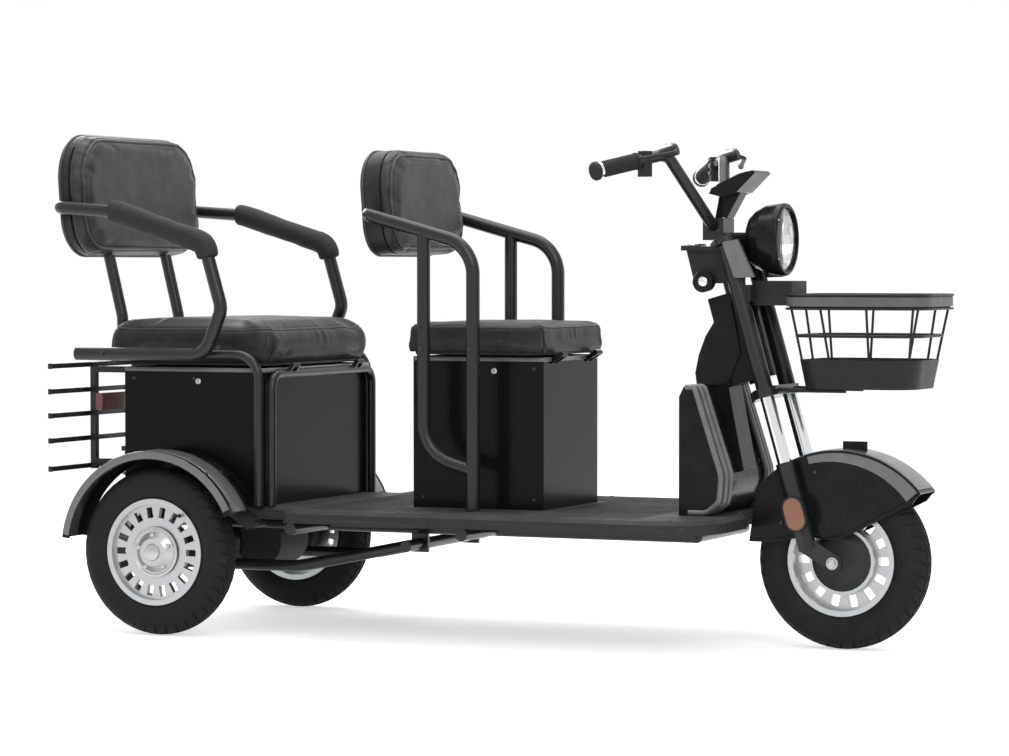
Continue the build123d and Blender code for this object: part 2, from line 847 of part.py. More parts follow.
# Rear fenders over the wheels, each strapped to the box
fender_r = 248.0
fender_wall = 4.0
fender_width = 98.0
fender_lip = 20.0
fender_y = track / 2 + 8
fender_start = 173.0
fender_end = 24.0
with BuildPart() as rear_fenders:
    for sign in (1, -1):
        start_rad = radians(fender_start)
        start_plane = Plane(
            origin=(0, sign * fender_y, rear_tyre_r),
            x_dir=(0, 1, 0),
            z_dir=(sin(start_rad), 0, -cos(start_rad)),
        )
        half = fender_width / 2
        with BuildSketch(start_plane) as channel:
            Polygon(
                (-half, fender_r - fender_lip),
                (-half, fender_r),
                (half, fender_r),
                (half, fender_r - fender_lip),
                (half - fender_wall, fender_r - fender_lip),
                (half - fender_wall, fender_r - fender_wall),
                (fender_wall - half, fender_r - fender_wall),
                (fender_wall - half, fender_r - fender_lip),
                align=None,
            )
        axle = Axis((0, sign * fender_y, rear_tyre_r), (0, 1, 0))
        revolve(channel.sketch, axis=axle, revolution_arc=fender_start - fender_end)
        strap_half = (fender_y - half - rear_box_half_width) / 2
        for angle in (95, 52):
            strap_x = (fender_r - 8) * cos(radians(angle))
            strap_z = rear_tyre_r + (fender_r - 8) * sin(radians(angle))
            with Locations((strap_x, sign * (rear_box_half_width + strap_half), strap_z)):
                Box(34, 2 * strap_half, 6)
        with BuildSketch(Plane.XZ.offset(-sign * fender_y)) as flare:
            Polygon((222, 304), (229, 308), (271, 276), (268, 270), align=None)
        extrude(flare.sketch, amount=half, both=True)
save(rear_fenders.part, "rear_fenders")

# Rear rack of five flat bars on two posts
rack_half_width = 300.0
rack_bar_height = 12.0
rack_bar_heights = (394, 465, 528, 589, 653)
rack_post_y = 105.0
rack_post_width = 16.0
rack_post_x = rack_x + rack_bar_depth / 2 + rack_post_width / 2
with BuildPart() as rear_rack:
    for height in rack_bar_heights:
        with Locations((rack_x, 0, height)):
            Box(rack_bar_depth, 2 * rack_half_width, rack_bar_height)
    for sign in (1, -1):
        post_bottom = rack_bar_heights[0] - 8
        post_top = rack_bar_heights[-1] + 6
        with Locations((rack_post_x, sign * rack_post_y, (post_bottom + post_top) / 2)):
            Box(rack_post_width, rack_post_width, post_top - post_bottom)
        for height in (rack_bar_heights[0] + 10, rack_bar_heights[-1] - 12):
            strut_front = rear_box_rear_x
            with Locations(((rack_post_x + strut_front) / 2, sign * rack_post_y, height)):
                Box(strut_front - rack_post_x, rack_post_width, rack_post_width)
save(rear_rack.part, "rear_rack")

with BuildPart() as tail_lamp:
    lamp_bottom = rack_bar_heights[2] + rack_bar_height / 2 + 3
    lamp_top = rack_bar_heights[3] - rack_bar_height / 2 - 3
    lamp_x = rack_post_x + rack_post_width / 2 + 10
    with Locations((lamp_x, 0, (lamp_bottom + lamp_top) / 2)):
        Box(20, 2 * rack_post_y + rack_post_width, lamp_top - lamp_bottom)
save(tail_lamp.part, "tail_lamp")

# Head tube with the down tube that carries it, standing on the front cross tube
head_bottom = steer_along_at(0, 628)
head_top = steer_along_at(0, 930)
with BuildPart() as head_frame:
    with BuildSketch(steer_plane.offset(head_bottom)):
        Circle(head_tube_r)
    extrude(amount=head_top - head_bottom)
    bar(
        [
            (rail_front_x, 0, rail_z),
            (rail_front_x, 0, 400),
            (stem_x - 8, 0, 600),
            (stem_x + 82, 0, 750),
        ],
        [400, 110],
        down_tube_r,
    )
    with BuildSketch(steer_plane.offset(head_bottom)):
        Circle(steerer_r + hub_bore_clearance)
    extrude(amount=head_top - head_bottom, mode=Mode.SUBTRACT)
    add(chassis_frame.part, mode=Mode.SUBTRACT)
save(head_frame.part, "head_frame")

# Front bulkhead: a hollow slanted box on the deck, with three ribs round each edge
bulkhead_rear_x = wheelbase - 352.0
bulkhead_half_width = 180.0
bulkhead_wall = 5.0
bulkhead_top_z = 622.0
shield_top_x = bulkhead_rear_x + 34
shield_nose_x = bulkhead_rear_x + 102
shield_nose_z = 415.0
shield_tuck_x = bulkhead_rear_x + 97
shield_tuck_z = 362.0
shield_foot_x = bulkhead_rear_x + 64
with BuildPart() as bulkhead:
    with BuildSketch(Plane.XZ.offset(-bulkhead_half_width)) as side_shape:
        with BuildLine():
            Polyline(
                (bulkhead_rear_x, deck_top_z),
                (bulkhead_rear_x, bulkhead_top_z - 24),
                (bulkhead_rear_x + 12, bulkhead_top_z),
                (shield_top_x, bulkhead_top_z),
                (shield_nose_x, shield_nose_z),
            )
            ThreePointArc(
                (shield_nose_x, shield_nose_z),
                (shield_tuck_x, shield_tuck_z),
                (shield_foot_x, deck_top_z),
            )
            Line((shield_foot_x, deck_top_z), (bulkhead_rear_x, deck_top_z))
        make_face()
    extrude(amount=2 * bulkhead_half_width)
    with BuildSketch(Plane.XZ.offset(-bulkhead_half_width + bulkhead_wall)) as inner_shape:
        with BuildLine():
            Polyline(
                (bulkhead_rear_x + 5, deck_top_z - 1),
                (bulkhead_rear_x + 5, bulkhead_top_z - 28),
                (bulkhead_rear_x + 14, bulkhead_top_z - 5),
                (shield_top_x - 4, bulkhead_top_z - 5),
                (shield_nose_x - 6, shield_nose_z - 2),
            )
            ThreePointArc(
                (shield_nose_x - 6, shield_nose_z - 2),
                (shield_tuck_x - 6, shield_tuck_z + 2),
                (shield_foot_x - 5, deck_top_z - 1),
            )
            Line((shield_foot_x - 5, deck_top_z - 1), (bulkhead_rear_x + 5, deck_top_z - 1))
        make_face()
    extrude(amount=2 * (bulkhead_half_width - bulkhead_wall), mode=Mode.SUBTRACT)
    add(head_frame.part, mode=Mode.SUBTRACT)
save(bulkhead.part, "bulkhead")
with BuildPart() as bulkhead_envelope:
    extrude(side_shape.sketch, amount=2 * bulkhead_half_width)

# Neck cover round the head tube, widening down to the bulkhead
neck_r = 44.0
neck_half_width = 50.0
neck_bottom = steer_along_at(0, 634)
neck_top = steer_along_at(0, 842)
with BuildPart() as neck_cover:
    with BuildSketch(steer_plane.offset(neck_bottom)):
        Circle(neck_r)
        with Locations((-30, 0)):
            RectangleRounded(60, 2 * neck_r, 8)
    extrude(amount=neck_top - neck_bottom)
    with BuildSketch(Plane.XZ.offset(-neck_half_width)):
        Polygon(
            (stem_x + 50, 822),
            (stem_x + 32, 800),
            (stem_x + 6, 770),
            (stem_x - 14, 738),
            (stem_x - 31, 694),
            (stem_x - 40, 650),
            (stem_x - 36, bulkhead_top_z),
            (stem_x + 42, bulkhead_top_z),
            (stem_x + 74, 700),
            align=None,
        )
    extrude(amount=2 * neck_half_width)
    with BuildSketch(Plane.XZ.offset(-46)):
        Polygon(
            (shield_top_x, bulkhead_top_z),
            (shield_top_x + 38, bulkhead_top_z + 18),
            (shield_top_x + 52, bulkhead_top_z - 62),
            (shield_nose_x + 12, shield_nose_z + 5),
            (shield_nose_x - 2, shield_nose_z),
            align=None,
        )
    extrude(amount=92)
    with BuildSketch(Plane.XZ.offset(-bulkhead_half_width - 1)):
        Polygon(
            (bulkhead_rear_x - 86, 200),
            (bulkhead_rear_x - 86, bulkhead_top_z + 0.2),
            (shield_top_x + seat_gap, bulkhead_top_z + 0.2),
            (shield_nose_x + seat_gap, shield_nose_z),
            (shield_nose_x - 4, 200),
            align=None,
        )
    extrude(amount=2 * bulkhead_half_width + 2, mode=Mode.SUBTRACT)
    with BuildSketch(steer_plane.offset(head_bottom - 40)):
        Circle(head_tube_r + 0.3)
    extrude(amount=head_top - head_bottom + 80, mode=Mode.SUBTRACT)
    add(head_frame.part, mode=Mode.SUBTRACT)
save(neck_cover.part, "neck_cover")

# Ribs round the front edges of the bulkhead
rib_r = 7.0
rib_inset_and_lead = ((2.0, 2.0), (26.0, 6.0), (52.0, 8.0))
with BuildPart() as bulkhead_ribs:
    for sign in (1, -1):
        for rib_inset, rib_lead in rib_inset_and_lead:
            rib_y = sign * (bulkhead_half_width - rib_inset)
            bar(
                [
                    (shield_top_x - 20 + rib_lead, rib_y, bulkhead_top_z - 2),
                    (shield_top_x + 2 + rib_lead, rib_y, bulkhead_top_z - 2),
                    (shield_nose_x + 1 + rib_lead, rib_y, shield_nose_z - 3),
                    (shield_tuck_x + 1 + rib_lead, rib_y, shield_tuck_z - 12),
                    (shield_foot_x + 2 + rib_lead, rib_y, deck_top_z + rib_r),
                    (bulkhead_rear_x + 24, rib_y, deck_top_z + rib_r),
                ],
                [8, 60, 30, 30],
                rib_r,
            )
    add(bulkhead_envelope.part, mode=Mode.SUBTRACT)
save(bulkhead_ribs.part, "bulkhead_ribs")

# Handlebar, bent up and back from its clamp
clamp_z = 1001.0
handlebar_r = 14.0
bar_inner_y = 40.0
bar_corner = (stem_x - 58, 196.0, clamp_z + 167)
bar_end = (stem_x - 170, 345.0, clamp_z + 126)
with BuildPart() as handlebar:
    bar(
        [
            (bar_end[0], -bar_end[1], bar_end[2]),
            (bar_corner[0], -bar_corner[1], bar_corner[2]),
            (stem_x, -bar_inner_y, clamp_z),
            (stem_x, bar_inner_y, clamp_z),
            bar_corner,
            bar_end,
        ],
        [45, 30, 30, 45],
        handlebar_r,
    )
save(handlebar.part, "handlebar")

# Fork: yoke with both crowns and upper tubes, chrome stanchions and sliders
upper_r = 20.0
stanchion_r = 17.0
slider_r = 22.0
half_spacing = leg_spacing / 2
upper_bottom = steer_along_at(leg_offset, 600)
upper_top = steer_along_at(leg_offset, 955)
lower_crown_bottom = steer_along_at(0, 586)
crown_thickness = 22.0
top_crown_bottom = steer_along_at(0, 948)
top_crown_thickness = 16.0
stanchion_bottom = steer_along_at(leg_offset, 442)
front_axle_forward = (wheelbase - stem_x) * cos(rake_rad) + (front_tyre_r - stem_z) * sin(rake_rad)
front_axle_along = (front_tyre_r - stem_z) * cos(rake_rad) - (wheelbase - stem_x) * sin(rake_rad)
slider_bottom = front_axle_along + 46
with BuildPart() as fork_yoke:
    for sign in (1, -1):
        with BuildSketch(steer_plane.offset(upper_bottom)):
            with Locations((leg_offset, sign * half_spacing)):
                Circle(upper_r)
        extrude(amount=upper_top - upper_bottom)
    for crown_bottom, thickness, end_r, middle_r in (
        (lower_crown_bottom, crown_thickness, 27, 30),
        (top_crown_bottom, top_crown_thickness, 26, 30),
    ):
        with BuildSketch(steer_plane.offset(crown_bottom)):
            with Locations((leg_offset, half_spacing), (leg_offset, -half_spacing)):
                Circle(end_r)
            Circle(middle_r)
            make_hull()
        extrude(amount=thickness)
    with BuildSketch(steer_plane.offset(lower_crown_bottom)):
        Circle(steerer_r)
    extrude(amount=-lower_crown_bottom)
    with Locations((stem_x, 0, clamp_z - 8)):
        Box(52, 76, 52)
    with Locations(((stem_x + 36 + lamp_rear_x) / 2, 0, lamp_z)):
        Box(lamp_rear_x - stem_x - 36, 50, 34)
    add(handlebar.part, mode=Mode.SUBTRACT)
    with Locations((lamp_rear_x - seat_gap + 20, 0, lamp_z)):
        Box(40, 120, 120, mode=Mode.SUBTRACT)
save(fork_yoke.part, "fork_yoke")

with BuildPart() as fork_stanchions:
    for sign in (1, -1):
        with BuildSketch(steer_plane.offset(stanchion_bottom)):
            with Locations((leg_offset, sign * half_spacing)):
                Circle(stanchion_r)
        extrude(amount=min(upper_bottom, lower_crown_bottom) - stanchion_bottom)
save(fork_stanchions.part, "fork_stanchions")

dropout_half = 7.0
with BuildPart() as fork_sliders:
    for sign in (1, -1):
        with BuildSketch(steer_plane.offset(slider_bottom)):
            with Locations((leg_offset, sign * half_spacing)):
                Circle(slider_r)
        extrude(amount=stanchion_bottom - slider_bottom)
        leg_low = Vector(*along_steer(leg_offset, sign * half_spacing, slider_bottom + 10))
        axle_centre = Vector(wheelbase, sign * half_spacing, front_tyre_r)
        middle = (leg_low + axle_centre) / 2
        direction = axle_centre - leg_low
        dropout_plane = Plane(origin=middle, x_dir=direction, z_dir=(0, -1, 0))
        with BuildSketch(dropout_plane):
            SlotCenterToCenter(direction.length, 40)
        extrude(amount=dropout_half, both=True)
        with Locations(Location(axle_centre, (90, 0, 0))):
            Cylinder(front_axle_r + 0.2, 40, mode=Mode.SUBTRACT)
save(fork_sliders.part, "fork_sliders")

axle_half_length = half_spacing + dropout_half + 9
with BuildPart() as front_axle:
    with Locations(Location((wheelbase, 0, front_tyre_r), (90, 0, 0))):
        Cylinder(front_axle_r, 2 * axle_half_length)
    for sign in (1, -1):
        with Locations(
            Location((wheelbase, sign * (axle_half_length - 4), front_tyre_r), (90, 0, 0))
        ):
            Cylinder(14, 8)
        spacer_inner = front_hub_half + 0.5
        spacer_outer = half_spacing - dropout_half
        with Locations(
            Location(
                (wheelbase, sign * (spacer_inner + spacer_outer) / 2, front_tyre_r), (90, 0, 0)
            )
        ):
            Cylinder(13, spacer_outer - spacer_inner)
save(front_axle.part, "front_axle")

# Front mudguard with deep sides and a flap behind the tyre
guard_r = 262.0
guard_wall = 3.0
guard_half_width = half_spacing - slider_r - 0.3
guard_front_angle = 39.6
guard_rear_angle = 140.0
guard_front = (
    wheelbase + guard_r * cos(radians(guard_front_angle)),
    front_tyre_r + guard_r * sin(radians(guard_front_angle)),
)
guard_rear = (
    wheelbase + guard_r * cos(radians(guard_rear_angle)),
    front_tyre_r + guard_r * sin(radians(guard_rear_angle)),
)
flap_bottom = (wheelbase - 219, 252.0)
with BuildPart() as front_mudguard:
    with BuildSketch(Plane.XZ.offset(-guard_half_width)):
        with BuildLine():
            ThreePointArc(guard_front, (wheelbase, front_tyre_r + guard_r), guard_rear)
            Polyline(
                guard_rear,
                flap_bottom,
                (wheelbase - 158, 252),
                (wheelbase - 78, 268),
                (wheelbase - 4, 260),
                (wheelbase + 57, 288),
                (wheelbase + 182, 352),
                guard_front,
            )
        make_face()
    extrude(amount=2 * guard_half_width)
    inner_half = guard_half_width - guard_wall
    with BuildSketch(Plane.XZ.offset(-inner_half)):
        with Locations((wheelbase, front_tyre_r)):
            Circle(guard_r - guard_wall)
        Polygon(
            (guard_rear[0] + 4, guard_rear[1] + 40),
            (guard_rear[0] + 4, guard_rear[1]),
            (flap_bottom[0] + 4, flap_bottom[1] - 30),
            (flap_bottom[0] - 119, flap_bottom[1] - 52),
            (flap_bottom[0] - 119, guard_rear[1] + 40),
            align=None,
            mode=Mode.SUBTRACT,
        )
    extrude(amount=2 * inner_half, mode=Mode.SUBTRACT)
    with Locations((wheelbase + 24, 0, guard_r + front_tyre_r + 8)):
        Box(60, 3, 24)
save(front_mudguard.part, "front_mudguard")

with BuildPart() as fork_reflectors:
    for sign in (1, -1):
        lens_plane = Plane(
            origin=(wheelbase - 88, sign * (half_spacing + slider_r + seat_gap), 324),
            x_dir=(sin(rake_rad), 0, -cos(rake_rad)),
            z_dir=(0, sign, 0),
        )
        with BuildSketch(lens_plane):
            SlotOverall(80, 50)
        extrude(amount=12)
save(fork_reflectors.part, "fork_reflectors")

# Headlamp
lamp_front_x = lamp_rear_x + 92
lamp_r = 86.0
lens_r = 75.0
lamp_centre = (lamp_rear_x, 0, lamp_z)
lamp_plane = Plane(origin=lamp_centre, x_dir=(1, 0, 0), z_dir=(0, -1, 0))
lamp_axis = Axis(lamp_centre, (1, 0, 0))
lamp_depth = lamp_front_x - lamp_rear_x
with BuildPart() as headlamp_shell:
    with BuildSketch(lamp_plane):
        Polygon(
            (0, 0),
            (0, 44),
            (7, 58),
            (20, 70),
            (42, 81),
            (lamp_depth - 14, lamp_r),
            (lamp_depth, lamp_r - 3),
            (lamp_depth, lens_r + 1),
            (lamp_depth - 16, lens_r + 1),
            (lamp_depth - 16, lens_r - 4),
            (42, lens_r - 8),
            (12, 48),
            (12, 0),
            align=None,
        )
    revolve(axis=lamp_axis)
save(headlamp_shell.part, "headlamp_shell")

lens_bulge = 8.0
lens_ball_r = (lens_r**2 + lens_bulge**2) / (2 * lens_bulge)
lens_back = lamp_depth - 15.7
lens_edge = lamp_depth - 6
with BuildPart() as headlamp_lens:
    with Locations(Location((lamp_rear_x + lens_back + 15, 0, lamp_z), (0, 90, 0))):
        Cylinder(lens_r, 30)
    with Locations((lamp_rear_x + lens_edge + lens_bulge - lens_ball_r, 0, lamp_z)):
        Sphere(lens_ball_r, mode=Mode.INTERSECT)
save(headlamp_lens.part, "headlamp_lens")

# Bracket under the lamp that carries the basket
stay_r = 5.0
bracket_front_x = basket_rear_x - seat_gap
bracket_rear_x = stem_x + 106
bracket_bottom_z = 812.0
bracket_top_z = 870.0
basket_height = basket_top_z - basket_bottom_z
bracket_taper = basket_taper_rear * (basket_top_z - bracket_bottom_z) / basket_height
with BuildPart() as basket_bracket:
    with BuildSketch(Plane.XZ.offset(-55)):
        Polygon(
            (bracket_rear_x, bracket_bottom_z),
            (bracket_front_x + bracket_taper, bracket_bottom_z),
            (bracket_front_x, basket_top_z),
            (bracket_front_x, bracket_top_z),
            (bracket_rear_x, bracket_top_z),
            align=None,
        )
    extrude(amount=110)
    bracket_z = (bracket_bottom_z + bracket_top_z) / 2
    with Locations((bracket_rear_x + 1, 0, bracket_z)):
        Box(14, 2 * half_spacing + 20, 40)
    for sign in (1, -1):
        with Locations((bracket_rear_x - 10, sign * half_spacing, bracket_z)):
            Box(20, 24, 40)
    stay_z = basket_bottom_z - stay_r - seat_gap
    for sign in (1, -1):
        bar(
            [
                along_steer(leg_offset + 27, sign * 62, lower_crown_bottom + 11),
                (basket_rear_x + 23, sign * 66, stay_z),
                (basket_rear_x + 138, sign * 66, stay_z),
            ],
            20,
            stay_r,
        )
    add(fork_yoke.part, mode=Mode.SUBTRACT)
save(basket_bracket.part, "basket_bracket")

# Basket
basket_band_top_z = basket_bottom_z + basket_band_height
basket_ring_z = basket_top_z - basket_ring_drop


def basket_outline(height, inset):
    """Round-cornered outline of the basket at a height, drawn in by an inset."""
    share = (basket_top_z - height) / (basket_top_z - basket_bottom_z)
    rear = basket_rear_x + basket_taper_rear * share + inset
    front = basket_front_x - basket_taper_front * share - inset
    half = basket_half_width - basket_taper_side * share - inset
    with BuildSketch(Plane.XY.offset(height), mode=Mode.PRIVATE) as outline:
        with Locations(((rear + front) / 2, 0)):
            RectangleRounded(front - rear, 2 * half, basket_corner_r - inset)
    return outline.sketch


with BuildPart() as basket:
    rim_bottom_z = basket_top_z - basket_rim_height
    loft([basket_outline(rim_bottom_z, 0), basket_outline(basket_top_z, 0)])
    loft(
        [
            basket_outline(rim_bottom_z - 1, basket_wall),
            basket_outline(basket_top_z + 1, basket_wall),
        ],
        mode=Mode.SUBTRACT,
    )
    loft([basket_outline(basket_bottom_z, 0), basket_outline(basket_band_top_z, 0)])
    loft(
        [
            basket_outline(basket_bottom_z + basket_wall, basket_wall),
            basket_outline(basket_band_top_z + 1, basket_wall),
        ],
        mode=Mode.SUBTRACT,
    )
    top_route = basket_outline(rim_bottom_z + 7, basket_wire_inset).faces()[0].outer_wire()
    low_route = basket_outline(basket_band_top_z - 7, basket_wire_inset).faces()[0].outer_wire()
    for step in range(basket_wires):
        share = (step + 0.5) / basket_wires
        bar([low_route @ share, top_route @ share], 0, basket_wire_r)
    ring_route = basket_outline(basket_ring_z, basket_wire_inset).faces()[0].outer_wire()
    with BuildSketch(Plane(origin=ring_route @ 0, z_dir=ring_route % 0)) as ring_section:
        Circle(basket_ring_r)
    sweep(ring_section.sketch, path=ring_route)
save(basket.part, "basket")


def along_grip(share, sign, lift=0.0, ahead=0.0):
    """Point along the straight outer end of the handlebar, on the side of the sign."""
    x, y, z = (bar_corner[i] + (bar_end[i] - bar_corner[i]) * share for i in range(3))
    return (x + ahead, sign * y, z + lift)


grip_r = 18.0
with BuildPart() as grips:
    for sign in (1, -1):
        bar([along_grip(0.42, sign), along_grip(1.02, sign)], 0, grip_r)
    add(handlebar.part, mode=Mode.SUBTRACT)
save(grips.part, "grips")

with BuildPart() as switch_blocks:
    for sign in (1, -1):
        block_plane = Plane(
            origin=along_grip(0.32, sign, lift=-9),
            x_dir=(bar_end[0] - bar_corner[0], sign * (bar_end[1] - bar_corner[1]), 0),
            z_dir=(0, 0, 1),
        )
        with BuildSketch(block_plane.offset(-32)):
            RectangleRounded(24, 34, 6)
        extrude(amount=60)
    add(handlebar.part, mode=Mode.SUBTRACT)
save(switch_blocks.part, "switch_blocks")

with BuildPart() as brake_levers:
    for sign in (1, -1):
        perch_low = along_grip(0.10, sign, ahead=2, lift=2)
        perch_high = along_grip(0.10, sign, ahead=44, lift=14)
        lever_knee = along_grip(0.30, sign, ahead=72, lift=14)
        lever_tip = along_grip(0.95, sign, ahead=100, lift=24)
        bar([perch_low, perch_high], 0, 13)
        bar([along_grip(0.10, sign, ahead=38, lift=12), lever_knee, lever_tip], 20, 5)
        with Locations(lever_tip):
            Sphere(7)
    add(handlebar.part, mode=Mode.SUBTRACT)
save(brake_levers.part, "brake_levers")

# Instrument pod on its stalk, standing on the clamp
pod_half_width = 56.0
stalk_half_width = 24.0
with BuildPart() as instrument_pod:
    with BuildSketch(Plane.XZ.offset(-pod_half_width)):
        Polygon(
            (stem_x - 4, clamp_z + 76),
            (stem_x + 2, clamp_z + 89),
            (stem_x + 82, clamp_z + 126),
            (stem_x + 106, clamp_z + 131),
            (stem_x + 112, clamp_z + 125),
            (stem_x + 66, clamp_z + 80),
            (stem_x + 32, clamp_z + 67),
            align=None,
        )
    extrude(amount=2 * pod_half_width)
    with BuildSketch(Plane.XZ.offset(-stalk_half_width)):
        Polygon(
            (stem_x, clamp_z + 18.3),
            (stem_x + 12, clamp_z + 76),
            (stem_x + 66, clamp_z + 82),
            (stem_x + 30, clamp_z + 18.3),
            align=None,
        )
    extrude(amount=2 * stalk_half_width)
save(instrument_pod.part, "instrument_pod")

# Dash box round the back of the head tube, with the horn below its side
dash_half_width = 62.0
dash_top_z = 952.0
with BuildPart() as dash_box:
    with BuildSketch(Plane.XZ.offset(-dash_half_width)):
        Polygon(
            (stem_x - 60, dash_top_z - 4),
            (stem_x + 47, dash_top_z - 4),
            (stem_x + 47, dash_top_z - 88),
            (stem_x - 38, dash_top_z - 88),
            align=None,
        )
    extrude(amount=2 * dash_half_width)
    with Locations((stem_x + 22, 0, dash_top_z - 52)):
        Box(84, 68, 120, mode=Mode.SUBTRACT)
    with Locations((stem_x - 20, 0, dash_top_z - 5)):
        Box(96, 2 * dash_half_width + 24, 10)
    with BuildSketch(steer_plane.offset(head_bottom)):
        Circle(head_tube_r + steering_gap)
    extrude(amount=head_top - head_bottom + 6, mode=Mode.SUBTRACT)
    add(fork_yoke.part, mode=Mode.SUBTRACT)
save(dash_box.part, "dash_box")

horn_r = 24.0
horn_depth = 23.4
with BuildPart() as horn:
    horn_y = -dash_half_width - seat_gap - horn_depth / 2
    with Locations(Location((stem_x - 8, horn_y, 868), (90, 0, 0))):
        Cylinder(horn_r, horn_depth)
save(horn.part, "horn")

# Covers on the outside of the upper fork legs
cover_wall = 6.0
cover_sink = 7.0
cover_inner_y = half_spacing + upper_r - cover_sink
with BuildPart() as fork_covers:
    for sign in (1, -1):
        with BuildSketch(Plane.XZ.offset(-sign * cover_inner_y)) as cover:
            Polygon(
                (stem_x + 48, 962),
                (stem_x + 86, 968),
                (stem_x + 129, 879),
                (stem_x + 79, 877),
                align=None,
            )
        extrude(cover.sketch, amount=-sign * (cover_sink + cover_wall))
    add(fork_yoke.part, mode=Mode.SUBTRACT)
save(fork_covers.part, "fork_covers")
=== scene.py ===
"""Dressed electric tricycle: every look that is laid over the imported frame.

Lengths are metres in the row frame unless a name ends in _mm. A station is a distance
in millimetres ahead of the rear axle, and spot() turns it into the row frame.
"""

import json
import logging
import math
from dataclasses import dataclass
from enum import Enum
from typing import Callable, Iterable, Sequence

import bmesh
import bpy
import numpy as np
from mathutils import Matrix, Vector, noise
from mathutils.bvhtree import BVHTree
from mathutils.kdtree import KDTree

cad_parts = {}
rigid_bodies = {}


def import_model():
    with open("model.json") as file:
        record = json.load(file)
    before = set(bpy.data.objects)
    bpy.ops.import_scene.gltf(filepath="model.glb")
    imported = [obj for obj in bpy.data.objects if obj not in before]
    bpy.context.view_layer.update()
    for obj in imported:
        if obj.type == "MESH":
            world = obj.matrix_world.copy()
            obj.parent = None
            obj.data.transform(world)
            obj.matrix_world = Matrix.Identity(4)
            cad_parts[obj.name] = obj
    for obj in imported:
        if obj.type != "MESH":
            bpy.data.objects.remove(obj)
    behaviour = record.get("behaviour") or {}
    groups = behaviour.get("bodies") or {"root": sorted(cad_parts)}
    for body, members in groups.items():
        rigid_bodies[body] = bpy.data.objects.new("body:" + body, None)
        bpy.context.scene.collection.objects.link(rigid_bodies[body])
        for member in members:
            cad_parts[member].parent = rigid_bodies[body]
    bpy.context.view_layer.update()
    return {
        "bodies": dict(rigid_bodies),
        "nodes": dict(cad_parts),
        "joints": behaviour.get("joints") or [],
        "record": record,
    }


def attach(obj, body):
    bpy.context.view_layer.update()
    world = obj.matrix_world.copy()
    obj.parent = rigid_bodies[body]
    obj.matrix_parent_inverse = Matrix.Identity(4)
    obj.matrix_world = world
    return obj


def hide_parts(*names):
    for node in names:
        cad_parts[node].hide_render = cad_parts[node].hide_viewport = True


LOG = logging.getLogger("tricycle")
ORIGIN_MM = 754.5
Colour = tuple[float, float, float]
Point = tuple[float, float, float]


def spot(station: float, side: float, height: float) -> Vector:
    """Turn a station, side and height in millimetres into a point of the row frame.

    Args:
        station: Distance ahead of the rear axle.
        side: Distance to the left of the centre plane.
        height: Height above the ground.

    Returns:
        The point in metres.
    """
    return Vector((station - ORIGIN_MM, side, height)) / 1000


class Body(Enum):
    """The moving bodies of the frame."""

    FRAME = "frame"
    STEERING = "steering"
    FRONT_WHEEL = "front_wheel"
    REAR_LEFT = "rear_wheel_left"
    REAR_RIGHT = "rear_wheel_right"
    REAR_LID = "rear_lid"
    MIDDLE_LID = "middle_lid"


class Side(Enum):
    """The two sides of the vehicle, as the sign of Y."""

    LEFT = 1
    RIGHT = -1


# Shader groups


class NodeSheet:
    """A node tree with short calls for adding and joining nodes."""

    def __init__(self, tree: bpy.types.NodeTree) -> None:
        """Keep the tree."""
        self.tree = tree

    def add(self, kind: str, **settings: object) -> bpy.types.Node:
        """Add a node.

        Args:
            kind: The node's type name.
            settings: Attributes to set on the node.

        Returns:
            The new node.
        """
        node = self.tree.nodes.new(kind)
        for name, value in settings.items():
            setattr(node, name, value)
        return node

    def put(self, socket: bpy.types.NodeSocket, value: object) -> None:
        """Set a socket's own value, or link it if the value is a socket."""
        if isinstance(value, bpy.types.NodeSocket):
            self.tree.links.new(value, socket)
        else:
            socket.default_value = value

    def math(self, operation: str, *values: object, clamp: bool = False) -> bpy.types.NodeSocket:
        """Add a math node.

        Args:
            operation: The node's operation.
            values: Numbers or sockets for its inputs.
            clamp: Whether the result is held between 0 and 1.

        Returns:
            The node's output.
        """
        node = self.add("ShaderNodeMath", operation=operation, use_clamp=clamp)
        for index, value in enumerate(values):
            self.put(node.inputs[index], value)
        return node.outputs[0]

    def mix(self, factor: object, a: object, b: object) -> bpy.types.NodeSocket:
        """Mix two colours.

        Args:
            factor: Share of the second colour.
            a: First colour, as a socket or a value.
            b: Second colour.

        Returns:
            The mixed colour.
        """
        node = self.add("ShaderNodeMix", data_type="RGBA")
        self.put(node.inputs["Factor"], factor)
        for socket, value in ((node.inputs[6], a), (node.inputs[7], b)):
            if not isinstance(value, bpy.types.NodeSocket):
                value = (*value, 1.0) if len(value) == 3 else value
            self.put(socket, value)
        return node.outputs[2]

    def spread(
        self, value: object, low: float, high: float, to_low: float, to_high: float
    ) -> bpy.types.NodeSocket:
        """Map a value from one range to another, held inside it.

        Args:
            value: The socket to map.
            low: Where the first range starts.
            high: Where the first range ends.
            to_low: The result at low.
            to_high: The result at high.

        Returns:
            The mapped value.
        """
        node = self.add("ShaderNodeMapRange")
        for name, number in (
            ("Value", value),
            ("From Min", low),
            ("From Max", high),
            ("To Min", to_low),
            ("To Max", to_high),
        ):
            self.put(node.inputs[name], number)
        return node.outputs["Result"]


